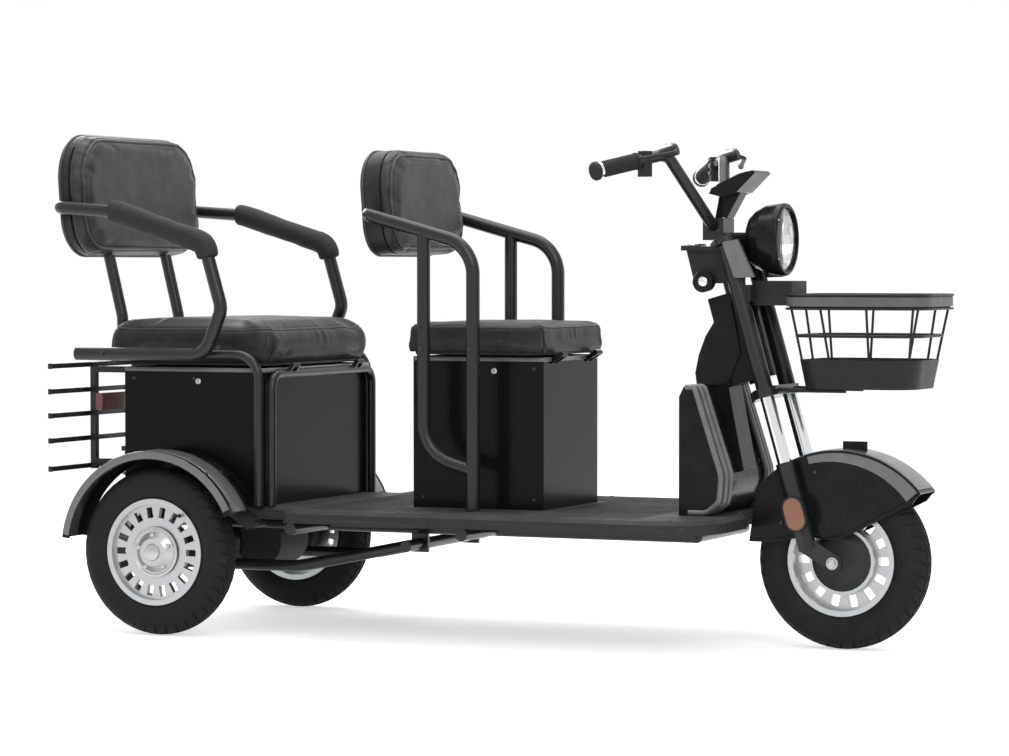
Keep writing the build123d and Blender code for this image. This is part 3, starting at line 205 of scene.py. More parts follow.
class ShaderGroups:
    """The shader node groups that several finishes share, each built once."""

    _built: dict[str, bpy.types.NodeTree] = {}

    @classmethod
    def _start(
        cls, name: str, inputs: dict[str, float], outputs: Sequence[str]
    ) -> tuple[NodeSheet, bpy.types.Node, bpy.types.Node]:
        """Start a group with float inputs and outputs.

        Args:
            name: The group's name.
            inputs: Input names and their starting values.
            outputs: Output names.

        Returns:
            The sheet, the input node and the output node.
        """
        tree = bpy.data.node_groups.new(name, "ShaderNodeTree")
        for label, value in inputs.items():
            socket = tree.interface.new_socket(label, in_out="INPUT", socket_type="NodeSocketFloat")
            socket.default_value = value
        for label in outputs:
            tree.interface.new_socket(label, in_out="OUTPUT", socket_type="NodeSocketFloat")
        sheet = NodeSheet(tree)
        cls._built[name] = tree
        return sheet, sheet.add("NodeGroupInput"), sheet.add("NodeGroupOutput")

    @classmethod
    def grain(cls) -> bpy.types.NodeTree:
        """Grain of leatherette or moulded plastic, as a height and a shade mask."""
        if "fine_grain" in cls._built:
            return cls._built["fine_grain"]
        sheet, given, out = cls._start("fine_grain", {"Scale": 400.0, "Crease": 0.5}, ("Height", "Shade"))
        place = sheet.add("ShaderNodeTexCoord").outputs["Object"]
        bend = sheet.add("ShaderNodeTexNoise")
        sheet.put(bend.inputs["Vector"], place)
        sheet.put(bend.inputs["Scale"], sheet.math("MULTIPLY", given.outputs["Scale"], 0.35))
        bend.inputs["Detail"].default_value = 3.0
        cells = sheet.add("ShaderNodeTexVoronoi", feature="SMOOTH_F1")
        cells.inputs["Smoothness"].default_value = 0.35
        shifted = sheet.add("ShaderNodeVectorMath", operation="ADD")
        sheet.put(shifted.inputs[0], place)
        scaled = sheet.add("ShaderNodeVectorMath", operation="SCALE")
        sheet.put(scaled.inputs[0], bend.outputs["Color"])
        scaled.inputs["Scale"].default_value = 0.002
        sheet.put(shifted.inputs[1], scaled.outputs[0])
        sheet.put(cells.inputs["Vector"], shifted.outputs[0])
        sheet.put(cells.inputs["Scale"], given.outputs["Scale"])
        wide = sheet.add("ShaderNodeTexNoise")
        sheet.put(wide.inputs["Vector"], place)
        wide.inputs["Scale"].default_value = 26.0
        wide.inputs["Detail"].default_value = 5.0
        pebble = sheet.math("SUBTRACT", 1.0, cells.outputs["Distance"])
        crease = sheet.math("MULTIPLY", bend.outputs["Fac"], given.outputs["Crease"])
        sheet.put(out.inputs["Height"], sheet.math("ADD", pebble, crease))
        sheet.put(out.inputs["Shade"], sheet.spread(wide.outputs["Fac"], 0.35, 0.65, 0.0, 1.0))
        return cls._built["fine_grain"]

    @classmethod
    def settle(cls) -> bpy.types.NodeTree:
        """Dust that settles on what looks up, as a mask."""
        if "settled_dust" in cls._built:
            return cls._built["settled_dust"]
        sheet, given, out = cls._start("settled_dust", {"Amount": 0.3, "Scale": 18.0}, ("Mask",))
        geometry = sheet.add("ShaderNodeNewGeometry")
        split = sheet.add("ShaderNodeSeparateXYZ")
        sheet.put(split.inputs[0], geometry.outputs["Normal"])
        up = sheet.spread(split.outputs["Z"], 0.2, 1.0, 0.0, 1.0)
        noise = sheet.add("ShaderNodeTexNoise")
        sheet.put(noise.inputs["Vector"], sheet.add("ShaderNodeTexCoord").outputs["Object"])
        sheet.put(noise.inputs["Scale"], given.outputs["Scale"])
        noise.inputs["Detail"].default_value = 6.0
        patch = sheet.spread(noise.outputs["Fac"], 0.4, 0.7, 0.15, 1.0)
        amount = sheet.math("MULTIPLY", up, given.outputs["Amount"])
        sheet.put(out.inputs["Mask"], sheet.math("MULTIPLY", amount, patch, clamp=True))
        return cls._built["settled_dust"]

    @classmethod
    def ripple(cls) -> bpy.types.NodeTree:
        """Slow ripple of paint and moulded skins, with fine specks, as a height and a speck mask."""
        if "paint_ripple" in cls._built:
            return cls._built["paint_ripple"]
        sheet, given, out = cls._start("paint_ripple", {"Scale": 60.0, "Specks": 900.0}, ("Height", "Speck"))
        place = sheet.add("ShaderNodeTexCoord").outputs["Object"]
        slow = sheet.add("ShaderNodeTexNoise")
        sheet.put(slow.inputs["Vector"], place)
        sheet.put(slow.inputs["Scale"], given.outputs["Scale"])
        slow.inputs["Detail"].default_value = 2.0
        fine = sheet.add("ShaderNodeTexNoise")
        sheet.put(fine.inputs["Vector"], place)
        sheet.put(fine.inputs["Scale"], given.outputs["Specks"])
        fine.inputs["Detail"].default_value = 2.0
        sheet.put(out.inputs["Height"], slow.outputs["Fac"])
        sheet.put(out.inputs["Speck"], sheet.spread(fine.outputs["Fac"], 0.45, 0.62, 0.0, 1.0))
        return cls._built["paint_ripple"]


def group_node(sheet: NodeSheet, tree: bpy.types.NodeTree, **values: float) -> bpy.types.Node:
    """Place a shader group in a material.

    Args:
        sheet: The material's sheet.
        tree: The group.
        values: Values for its inputs.

    Returns:
        The group's node.
    """
    node = sheet.add("ShaderNodeGroup", node_tree=tree)
    for name, value in values.items():
        node.inputs[name].default_value = value
    return node


# Finishes


@dataclass(frozen=True)
class Finish:
    """Base of every finish: a name, the record's slot and a plain colour."""

    name: str
    slot: str
    colour: Colour
    roughness: float = 0.5
    specular: float = 0.5

    def material(self) -> bpy.types.Material:
        """Give the finish's material, built on first use."""
        made = bpy.data.materials.get(self.name)
        if made is not None:
            return made
        made = bpy.data.materials.new(self.name)
        made.use_nodes = True
        made.node_tree.nodes.clear()
        sheet = NodeSheet(made.node_tree)
        shader = sheet.add("ShaderNodeBsdfPrincipled")
        out = sheet.add("ShaderNodeOutputMaterial")
        sheet.put(out.inputs["Surface"], shader.outputs[0])
        shader.inputs["Base Color"].default_value = (*self.colour, 1.0)
        shader.inputs["Roughness"].default_value = self.roughness
        shader.inputs["Specular IOR Level"].default_value = self.specular
        self.detail(sheet, shader)
        return made

    def detail(self, sheet: NodeSheet, shader: bpy.types.Node) -> None:
        """Add what makes the finish more than a plain colour."""

    def bump(
        self, sheet: NodeSheet, shader: bpy.types.Node, height: bpy.types.NodeSocket, strength: float,
        distance: float, rounding: float = 0.0
    ) -> None:
        """Feed a height into the shader's normal, over rounded edges where wanted.

        Args:
            sheet: The material's sheet.
            shader: The shader to feed.
            height: The height socket.
            strength: The bump's strength.
            distance: The bump's depth in metres.
            rounding: Radius of the edge rounding in metres, or 0 for none.
        """
        bump = sheet.add("ShaderNodeBump")
        bump.inputs["Strength"].default_value = strength
        bump.inputs["Distance"].default_value = distance
        sheet.put(bump.inputs["Height"], height)
        if rounding > 0:
            bevel = sheet.add("ShaderNodeBevel", samples=4)
            bevel.inputs["Radius"].default_value = rounding
            sheet.put(bump.inputs["Normal"], bevel.outputs[0])
        sheet.put(shader.inputs["Normal"], bump.outputs[0])


@dataclass(frozen=True)
class Paint(Finish):
    """Painted or coated metal, with a slow ripple, fine specks and settled dust."""

    gloss: float = 0.3
    rounding: float = 0.0015
    ripple: float = 0.12
    dust: float = 0.25

    def detail(self, sheet: NodeSheet, shader: bpy.types.Node) -> None:
        """Add the ripple, the specks and the dust."""
        ripple = group_node(sheet, ShaderGroups.ripple(), Scale=55.0, Specks=1100.0)
        dust = group_node(sheet, ShaderGroups.settle(), Amount=self.dust, Scale=14.0)
        lighter = tuple(min(1.0, c * 1.35 + 0.004) for c in self.colour)
        speckled = sheet.mix(ripple.outputs["Speck"], self.colour, lighter)
        sheet.put(
            shader.inputs["Base Color"], sheet.mix(dust.outputs["Mask"], speckled, (0.07, 0.069, 0.067))
        )
        rough = sheet.spread(ripple.outputs["Speck"], 0.0, 1.0, self.roughness, self.roughness + 0.06)
        sheet.put(
            shader.inputs["Roughness"],
            sheet.math("ADD", rough, sheet.math("MULTIPLY", dust.outputs["Mask"], 0.5))
        )
        shader.inputs["Coat Weight"].default_value = self.gloss
        shader.inputs["Coat Roughness"].default_value = 0.08
        self.bump(sheet, shader, ripple.outputs["Height"], self.ripple, 0.0012, self.rounding)


@dataclass(frozen=True)
class Moulded(Finish):
    """Moulded plastic or rubber with a fine grain."""

    grain: float = 700.0
    depth: float = 0.25
    rounding: float = 0.001
    coat: float = 0.0
    dust: float = 0.2

    def detail(self, sheet: NodeSheet, shader: bpy.types.Node) -> None:
        """Add the grain, a patchy shade and the dust."""
        grain = group_node(sheet, ShaderGroups.grain(), Scale=self.grain, Crease=0.4)
        dust = group_node(sheet, ShaderGroups.settle(), Amount=self.dust, Scale=20.0)
        lighter = tuple(min(1.0, c * 1.4 + 0.006) for c in self.colour)
        shaded = sheet.mix(sheet.math("MULTIPLY", grain.outputs["Shade"], 0.5), self.colour, lighter)
        sheet.put(shader.inputs["Base Color"], sheet.mix(dust.outputs["Mask"], shaded, (0.07, 0.069, 0.067)))
        rough = sheet.spread(grain.outputs["Shade"], 0.0, 1.0, self.roughness - 0.05, self.roughness + 0.06)
        sheet.put(shader.inputs["Roughness"], rough)
        shader.inputs["Coat Weight"].default_value = self.coat
        shader.inputs["Coat Roughness"].default_value = 0.06
        self.bump(sheet, shader, grain.outputs["Height"], self.depth, 0.0006, self.rounding)


@dataclass(frozen=True)
class Leatherette(Finish):
    """Grained seat cover with creases and a soft sheen."""

    grain: float = 320.0
    depth: float = 0.5

    def detail(self, sheet: NodeSheet, shader: bpy.types.Node) -> None:
        """Add the grain, the wear on top and the dust."""
        grain = group_node(sheet, ShaderGroups.grain(), Scale=self.grain, Crease=0.8)
        dust = group_node(sheet, ShaderGroups.settle(), Amount=0.35, Scale=9.0)
        lighter = tuple(min(1.0, c * 1.7 + 0.01) for c in self.colour)
        shaded = sheet.mix(sheet.math("MULTIPLY", grain.outputs["Shade"], 0.6), self.colour, lighter)
        sheet.put(shader.inputs["Base Color"], sheet.mix(dust.outputs["Mask"], shaded, (0.075, 0.074, 0.072)))
        rough = sheet.spread(grain.outputs["Height"], 0.3, 1.4, self.roughness + 0.12, self.roughness - 0.05)
        sheet.put(shader.inputs["Roughness"], rough)
        shader.inputs["Sheen Weight"].default_value = 0.12
        shader.inputs["Sheen Roughness"].default_value = 0.4
        self.bump(sheet, shader, grain.outputs["Height"], self.depth, 0.0007)


@dataclass(frozen=True)
class Metal(Finish):
    """Bare, plated or silver painted metal."""

    metallic: float = 1.0
    coat: float = 0.0
    rounding: float = 0.001

    def detail(self, sheet: NodeSheet, shader: bpy.types.Node) -> None:
        """Add handling marks in the roughness and a fine ripple."""
        ripple = group_node(sheet, ShaderGroups.ripple(), Scale=120.0, Specks=1500.0)
        dust = group_node(sheet, ShaderGroups.settle(), Amount=0.15, Scale=22.0)
        darker = tuple(c * 0.82 for c in self.colour)
        toned = sheet.mix(ripple.outputs["Speck"], self.colour, darker)
        sheet.put(shader.inputs["Base Color"], sheet.mix(dust.outputs["Mask"], toned, (0.3, 0.29, 0.28)))
        shader.inputs["Metallic"].default_value = self.metallic
        shader.inputs["Coat Weight"].default_value = self.coat
        rough = sheet.spread(ripple.outputs["Height"], 0.3, 0.7, self.roughness, self.roughness + 0.08)
        sheet.put(shader.inputs["Roughness"], rough)
        self.bump(sheet, shader, ripple.outputs["Height"], 0.05, 0.0006, self.rounding)


@dataclass(frozen=True)
class Lens(Finish):
    """Coloured reflector or lamp lens with moulded prisms behind its face."""

    prism: float = 260.0
    depth: float = 0.7

    def detail(self, sheet: NodeSheet, shader: bpy.types.Node) -> None:
        """Add the prisms, as shade and bump under a clear coat."""
        place = sheet.add("ShaderNodeTexCoord").outputs["Object"]
        cells = sheet.add("ShaderNodeTexVoronoi", feature="F1", distance="CHEBYCHEV")
        sheet.put(cells.inputs["Vector"], place)
        cells.inputs["Scale"].default_value = self.prism
        cells.inputs["Randomness"].default_value = 0.0
        deep = tuple(c * 0.35 for c in self.colour)
        mask = sheet.spread(cells.outputs["Distance"], 0.1, 0.5, 0.0, 1.0)
        sheet.put(shader.inputs["Base Color"], sheet.mix(mask, self.colour, deep))
        shader.inputs["Coat Weight"].default_value = 1.0
        shader.inputs["Coat Roughness"].default_value = 0.03
        self.bump(sheet, shader, cells.outputs["Distance"], self.depth, 0.001)


@dataclass(frozen=True)
class ClearLens(Finish):
    """Clear lamp lens with upright flutes."""

    def detail(self, sheet: NodeSheet, shader: bpy.types.Node) -> None:
        """Add the transmission and the flutes."""
        shader.inputs["Transmission Weight"].default_value = 1.0
        shader.inputs["IOR"].default_value = 1.45
        wave = sheet.add("ShaderNodeTexWave", wave_type="BANDS", bands_direction="Y")
        sheet.put(wave.inputs["Vector"], sheet.add("ShaderNodeTexCoord").outputs["Object"])
        wave.inputs["Scale"].default_value = 30.0
        self.bump(sheet, shader, wave.outputs["Fac"], 0.12, 0.0008)


@dataclass(frozen=True)
class DeckMat(Finish):
    """Dark deck covering with a pebbled skin and scuffs along its length."""

    def detail(self, sheet: NodeSheet, shader: bpy.types.Node) -> None:
        """Add the pebbles, the scuffs and the dust."""
        grain = group_node(sheet, ShaderGroups.grain(), Scale=260.0, Crease=0.3)
        dust = group_node(sheet, ShaderGroups.settle(), Amount=0.55, Scale=7.0)
        place = sheet.add("ShaderNodeTexCoord").outputs["Object"]
        stretch = sheet.add("ShaderNodeMapping")
        stretch.inputs["Scale"].default_value = (2.0, 60.0, 60.0)
        sheet.put(stretch.inputs["Vector"], place)
        streak = sheet.add("ShaderNodeTexNoise")
        sheet.put(streak.inputs["Vector"], stretch.outputs[0])
        streak.inputs["Scale"].default_value = 2.0
        streak.inputs["Detail"].default_value = 5.0
        scuff = sheet.spread(streak.outputs["Fac"], 0.5, 0.75, 0.0, 0.6)
        lighter = tuple(c * 1.8 + 0.01 for c in self.colour)
        scuffed = sheet.mix(scuff, self.colour, lighter)
        sheet.put(shader.inputs["Base Color"], sheet.mix(dust.outputs["Mask"], scuffed, (0.1, 0.098, 0.095)))
        sheet.put(
            shader.inputs["Roughness"],
            sheet.spread(grain.outputs["Shade"], 0.0, 1.0, self.roughness, self.roughness + 0.12)
        )
        self.bump(sheet, shader, grain.outputs["Height"], 0.5, 0.0009, 0.003)


class Finishes:
    """Every finish of the tricycle, named for the pieces that wear it."""

    TYRE = Moulded(
        "tyre_rubber_skin", "tyre_rubber", (0.013, 0.013, 0.014), 0.62, grain=500.0, depth=0.2, rounding=0.0,
        dust=0.3, specular=0.14
    )
    ALLOY = Metal("silver_wheel_paint", "silver_alloy", (0.47, 0.475, 0.48), 0.3, metallic=0.85, coat=0.4)
    FRAME_PAINT = Paint(
        "satin_black_tube", "black_paint", (0.012, 0.012, 0.013), 0.27, gloss=0.12, specular=0.3
    )
    CASTING = Paint(
        "rough_black_casting", "motor_case", (0.03, 0.03, 0.031), 0.55, gloss=0.0, ripple=0.4, specular=0.2
    )
    DECK = DeckMat("deck_covering", "deck_plastic", (0.028, 0.028, 0.029), 0.55, specular=0.2)
    BOX = Paint(
        "box_black_gloss", "box_paint", (0.004, 0.004, 0.0045), 0.2, gloss=0.04, ripple=0.06, specular=0.08
    )
    CASE = Moulded("battery_case", "case_plastic", (0.04, 0.04, 0.042), 0.6, specular=0.2)
    SEAT = Leatherette(
        "seat_cover_leatherette", "seat_leatherette", (0.026, 0.026, 0.027), 0.42, specular=0.25
    )
    PIPING = Leatherette(
        "seat_piping", "seat_leatherette", (0.04, 0.04, 0.041), 0.36, grain=600.0, depth=0.2, specular=0.3
    )
    PLASTIC = Moulded("grained_black_plastic", "black_plastic", (0.018, 0.018, 0.019), 0.48, specular=0.2)
    FOAM = Moulded(
        "foam_arm_sleeve", "foam_rubber", (0.02, 0.02, 0.02), 0.68, grain=420.0, depth=0.5, rounding=0.0,
        specular=0.25
    )
    GLOSS = Moulded(
        "gloss_black_moulding", "gloss_black_plastic", (0.008, 0.008, 0.009), 0.2, grain=200.0, depth=0.03,
        rounding=0.002, coat=0.06, specular=0.1
    )
    RED = Lens("red_lamp_lens", "red_lens", (0.35, 0.008, 0.01), 0.15)
    CHROME = Metal("chrome_plate_skin", "chrome_plate", (0.78, 0.79, 0.8), 0.08)
    SLIDER = Paint("fork_slider_paint", "slider_paint", (0.012, 0.012, 0.013), 0.25, gloss=0.12, specular=0.3)
    ZINC = Metal("zinc_plated_steel", "zinc_steel", (0.5, 0.5, 0.49), 0.35)
    AMBER = Lens("amber_reflector", "amber_lens", (0.6, 0.16, 0.01), 0.15)
    CLEAR = ClearLens("clear_lamp_lens", "lamp_glass", (0.96, 0.97, 0.98), 0.04)
    BASKET = Moulded(
        "basket_coating", "basket_plastic", (0.014, 0.014, 0.015), 0.4, grain=500.0, depth=0.15, specular=0.2
    )
    BULB = Metal("frosted_bulb_glass", "lamp_glass", (0.85, 0.85, 0.82), 0.25, metallic=0.0, coat=0.6)
    BLACK_BOLT = Paint("blackened_bolt", "black_paint", (0.02, 0.02, 0.021), 0.35, gloss=0.1, specular=0.3)
    CUSHION = Leatherette(
        "cushion_leatherette", "seat_leatherette", (0.013, 0.013, 0.0135), 0.45, specular=0.2
    )
    THREAD = Leatherette("seat_thread", "seat_leatherette", (0.1, 0.1, 0.1), 0.5, grain=900.0, depth=0.1)
    COIL = Paint("coil_spring_paint", "black_paint", (0.02, 0.02, 0.021), 0.3, gloss=0.6)
    # Painted highlight: a lighter grey copy of the basket plastic for the lit face of the basket's rim band.
    BAND_HIGHLIGHT = Moulded("basket_band_highlight", "basket_plastic", (0.09, 0.09, 0.092), 0.42, grain=500.0, depth=0.15)
    # Lighter grey copy of the gloss black plastic. On the mudguard's top strip and on the fenders' top strips
    # and outer lips it is a painted highlight; on the other pieces it is simply lighter.
    GREY_AND_HIGHLIGHT = Moulded(
        "grey_moulding_and_highlight", "gloss_black_plastic", (0.12, 0.12, 0.123), 0.34, grain=300.0, depth=0.06,
        rounding=0.002, coat=0.4
    )
    SHELL = Leatherette("back_shell_cover", "black_plastic", (0.014, 0.014, 0.015), 0.42, specular=0.2)
    # Dark gloss of the gauge screen; on the key slots it is painted shade standing for the recess.
    SCREEN_AND_SLOT_SHADE = Moulded(
        "dark_gauge_screen_and_slot_shade", "gloss_black_plastic", (0.006, 0.007, 0.009), 0.08, grain=100.0, depth=0.0,
        rounding=0.0, coat=1.0, dust=0.0
    )
    GRIP = Moulded(
        "grip_rubber_skin", "grip_rubber", (0.02, 0.02, 0.02), 0.6, grain=500.0, depth=0.4, specular=0.2
    )


NODE_FINISHES: dict[str, Finish] = {
    **dict.fromkeys(("rear_tyre_left", "rear_tyre_right", "front_tyre"), Finishes.TYRE),
    **dict.fromkeys(("rear_rim_left", "rear_rim_right", "front_rim"), Finishes.ALLOY),
    **dict.fromkeys(
        ("rear_axle", "trailing_arms", "rear_shocks", "chassis_frame", "rear_box_tubes", "rear_seat_tubes",
         "middle_seat_tubes", "rear_rack", "head_frame", "fork_yoke", "handlebar"),
        Finishes.FRAME_PAINT,
    ),
    **dict.fromkeys(("drive_motor", "brake_drums", "front_hub"), Finishes.CASTING),
    "floor_deck": Finishes.DECK,
    **dict.fromkeys(("rear_box", "middle_box"), Finishes.BOX),
    "battery_pack": Finishes.CASE,
    **dict.fromkeys(("rear_cushion", "middle_cushion", "rear_back_pad", "middle_back_pad"), Finishes.SEAT),
    **dict.fromkeys(
        ("rear_seat_pan", "middle_seat_pan", "basket_bracket", "switch_blocks", "brake_levers", "dash_box"),
        Finishes.PLASTIC,
    ),
    **dict.fromkeys(("rear_back_shell", "middle_back_shell"), Finishes.SHELL),
    **dict.fromkeys(("bulkhead_ribs", "fork_covers"), Finishes.GREY_AND_HIGHLIGHT),
    "arm_pads": Finishes.FOAM,
    **dict.fromkeys(
        ("rear_fenders", "bulkhead", "neck_cover", "front_mudguard", "headlamp_shell", "instrument_pod"),
        Finishes.GLOSS,
    ),
    "tail_lamp": Finishes.RED,
    "fork_stanchions": Finishes.CHROME,
    "horn": Finishes.GLOSS,
    "fork_sliders": Finishes.SLIDER,
    "front_axle": Finishes.ZINC,
    "fork_reflectors": Finishes.AMBER,
    "headlamp_lens": Finishes.CLEAR,
    "basket": Finishes.BASKET,
    "grips": Finishes.GRIP,
}


# Mesh building


class Form:
    """Points and faces that are gathered into one mesh piece."""

    def __init__(self) -> None:
        """Start empty."""
        self.points: list[Vector] = []
        self.faces: list[tuple[int, ...]] = []

    def rings(self, rings: Sequence[Sequence[Vector]], closed: bool = False, caps: bool = True) -> None:
        """Join rings of equal length into a skin.

        Args:
            rings: The rings in order.
            closed: Whether the last ring joins the first.
            caps: Whether the end rings are filled.
        """
        start = len(self.points)
        count = len(rings[0])
        for ring in rings:
            self.points.extend(Vector(point) for point in ring)
        for row in range(len(rings) if closed else len(rings) - 1):
            a = start + row * count
            b = start + (row + 1) % len(rings) * count
            for i in range(count):
                j = (i + 1) % count
                self.faces.append((a + i, a + j, b + j, b + i))
        if caps and not closed:
            last = start + (len(rings) - 1) * count
            self.faces.append(tuple(range(start + count - 1, start - 1, -1)))
            self.faces.append(tuple(range(last, last + count)))

    def tube(
        self, path: Sequence[Vector], radius: float | Callable[[float], float], sides: int = 12,
        closed: bool = False
    ) -> None:
        """Sweep a round section along a path.

        Args:
            path: Points along the middle.
            radius: The radius, or a function of the share of the way along.
            sides: Points round the section.
            closed: Whether the path is a loop.
        """
        count = len(path)
        normal = None
        rings = []
        for index, point in enumerate(path):
            before = path[index - 1] if index or closed else point
            after = path[(index + 1) % count] if index < count - 1 or closed else point
            tangent = (after - before).normalized()
            normal = tangent.orthogonal() if normal is None else normal - tangent * normal.dot(tangent)
            normal.normalize()
            across = tangent.cross(normal)
            size = radius(index / max(1, count - 1)) if callable(radius) else radius
            rings.append([
                point + (normal * math.cos(turn) + across * math.sin(turn)) * size
                for turn in (math.tau * k / sides for k in range(sides))
            ])
        self.rings(rings, closed)

    def lathe(
        self, profile: Sequence[tuple[float, float]], centre: Vector, axis: Vector, sides: int = 64,
        closed: bool = False
    ) -> None:
        """Turn a profile about an axis.

        Args:
            profile: Pairs of distance along the axis and radius, in millimetres.
            centre: The axis's start.
            axis: The axis's direction.
            sides: Points round the turn.
            closed: Whether the profile is a loop.
        """
        axis = Vector(axis).normalized()
        first = axis.orthogonal().normalized()
        second = axis.cross(first)
        self.rings([
            [
                centre + (
                    axis * along + (first * math.cos(turn) + second * math.sin(turn)) * max(radius, 0.02)
                ) / 1000
                for turn in (math.tau * k / sides for k in range(sides))
            ]
            for along, radius in profile
        ], closed)

    def prism(self, outline: Sequence[Vector], depth: Vector) -> None:
        """Push an outline along a vector."""
        self.rings([[Vector(p) for p in outline], [Vector(p) + Vector(depth) for p in outline]])

    def block(self, centre: Vector, size: Point, turn: Matrix | None = None) -> None:
        """Add a box of a size in millimetres about a centre, turned where wanted."""
        half = Vector(size) / 2000
        corners = [
            Vector((x, y, -half.z)) for x,
            y in ((-half.x, -half.y), (half.x, -half.y), (half.x, half.y), (-half.x, half.y))
        ]
        turn = turn or Matrix.Identity(3)
        low = [centre + turn @ corner for corner in corners]
        self.prism(low, turn @ Vector((0, 0, 2 * half.z)))

    def piece(
        self, name: str, finish: "Finish", body: Body, replaces: Sequence[str] = (), bevel_mm: float = 0.0,
        sharp: float = 38.0
    ) -> bpy.types.Object:
        """Make the mesh object and hand it to the frame.

        Args:
            name: The piece's name.
            finish: Its finish.
            body: The body that it rides on.
            replaces: The nodes that it stands in for.
            bevel_mm: Width of the rounding of sharp edges.
            sharp: Angle in degrees over which an edge stays sharp.

        Returns:
            The new object.
        """
        work = bmesh.new()
        points = [work.verts.new(point) for point in self.points]
        for face in self.faces:
            work.faces.new([points[i] for i in face])
        bmesh.ops.remove_doubles(work, verts=work.verts, dist=2e-5)
        bmesh.ops.recalc_face_normals(work, faces=work.faces)
        if bevel_mm:
            edges = [
                e for e in work.edges if len(e.link_faces) == 2 and e.calc_face_angle(0.0) > math.radians(30)
            ]
            bmesh.ops.bevel(
                work, geom=edges, offset=bevel_mm / 1000, segments=3, profile=0.5, affect="EDGES",
                clamp_overlap=True
            )
        mesh = bpy.data.meshes.new(name)
        work.to_mesh(mesh)
        work.free()
        mesh.polygons.foreach_set("use_smooth", [True] * len(mesh.polygons))
        mesh.set_sharp_from_angle(angle=math.radians(sharp))
        return adopt(bpy.data.objects.new(name, mesh), finish, body, replaces)


def adopt(
    piece: bpy.types.Object, finish: "Finish", body: Body, replaces: Sequence[str] = ()
) -> bpy.types.Object:
    """Link a piece, give it its finish and tell the frame what it rides on.

    Args:
        piece: The new object.
        finish: Its finish.
        body: The body that it rides on.
        replaces: The nodes that it stands in for.

    Returns:
        The same object.
    """
    if piece.name not in bpy.context.scene.collection.objects:
        bpy.context.scene.collection.objects.link(piece)
    piece.data.materials.clear()
    piece.data.materials.append(finish.material())
    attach(piece, body.value)
    if replaces:
        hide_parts(*replaces)
    LOG.info("piece %s rides on %s", piece.name, body.value)
    return piece


def arc(
    centre: tuple[float, float], radius: float, start: float, end: float, steps: int
) -> list[tuple[float, float]]:
    """Points along an arc in a plane, with angles in degrees."""
    turns = (math.radians(start + (end - start) * k / steps) for k in range(steps + 1))
    return [(centre[0] + radius * math.cos(t), centre[1] + radius * math.sin(t)) for t in turns]


def rounded(half_x: float, half_y: float, radius: float, steps: int = 8) -> list[tuple[float, float]]:
    """Outline of a rounded rectangle about the origin."""
    outline: list[tuple[float, float]] = []
    for sx, sy, start in ((1, 1, 0), (-1, 1, 90), (-1, -1, 180), (1, -1, 270)):
        outline += arc((sx * (half_x - radius), sy * (half_y - radius)), radius, start, start + 90, steps)
    return outline


def spaced(outline: Sequence[tuple[float, float]], gap: float) -> list[tuple[float, float]]:
    """Walk round a closed outline in nearly even steps."""
    loop = list(outline) + [outline[0]]
    lengths = [math.dist(a, b) for a, b in zip(loop, loop[1:])]
    total = sum(lengths)
    count = max(8, round(total / gap))
    found: list[tuple[float, float]] = []
    index = 0
    done = 0.0
    for step in range(count):
        target = total * step / count
        while done + lengths[index] < target:
            done += lengths[index]
            index += 1
        share = (target - done) / max(lengths[index], 1e-9)
        a, b = loop[index], loop[index + 1]
        found.append((a[0] + (b[0] - a[0]) * share, a[1] + (b[1] - a[1]) * share))
    return found


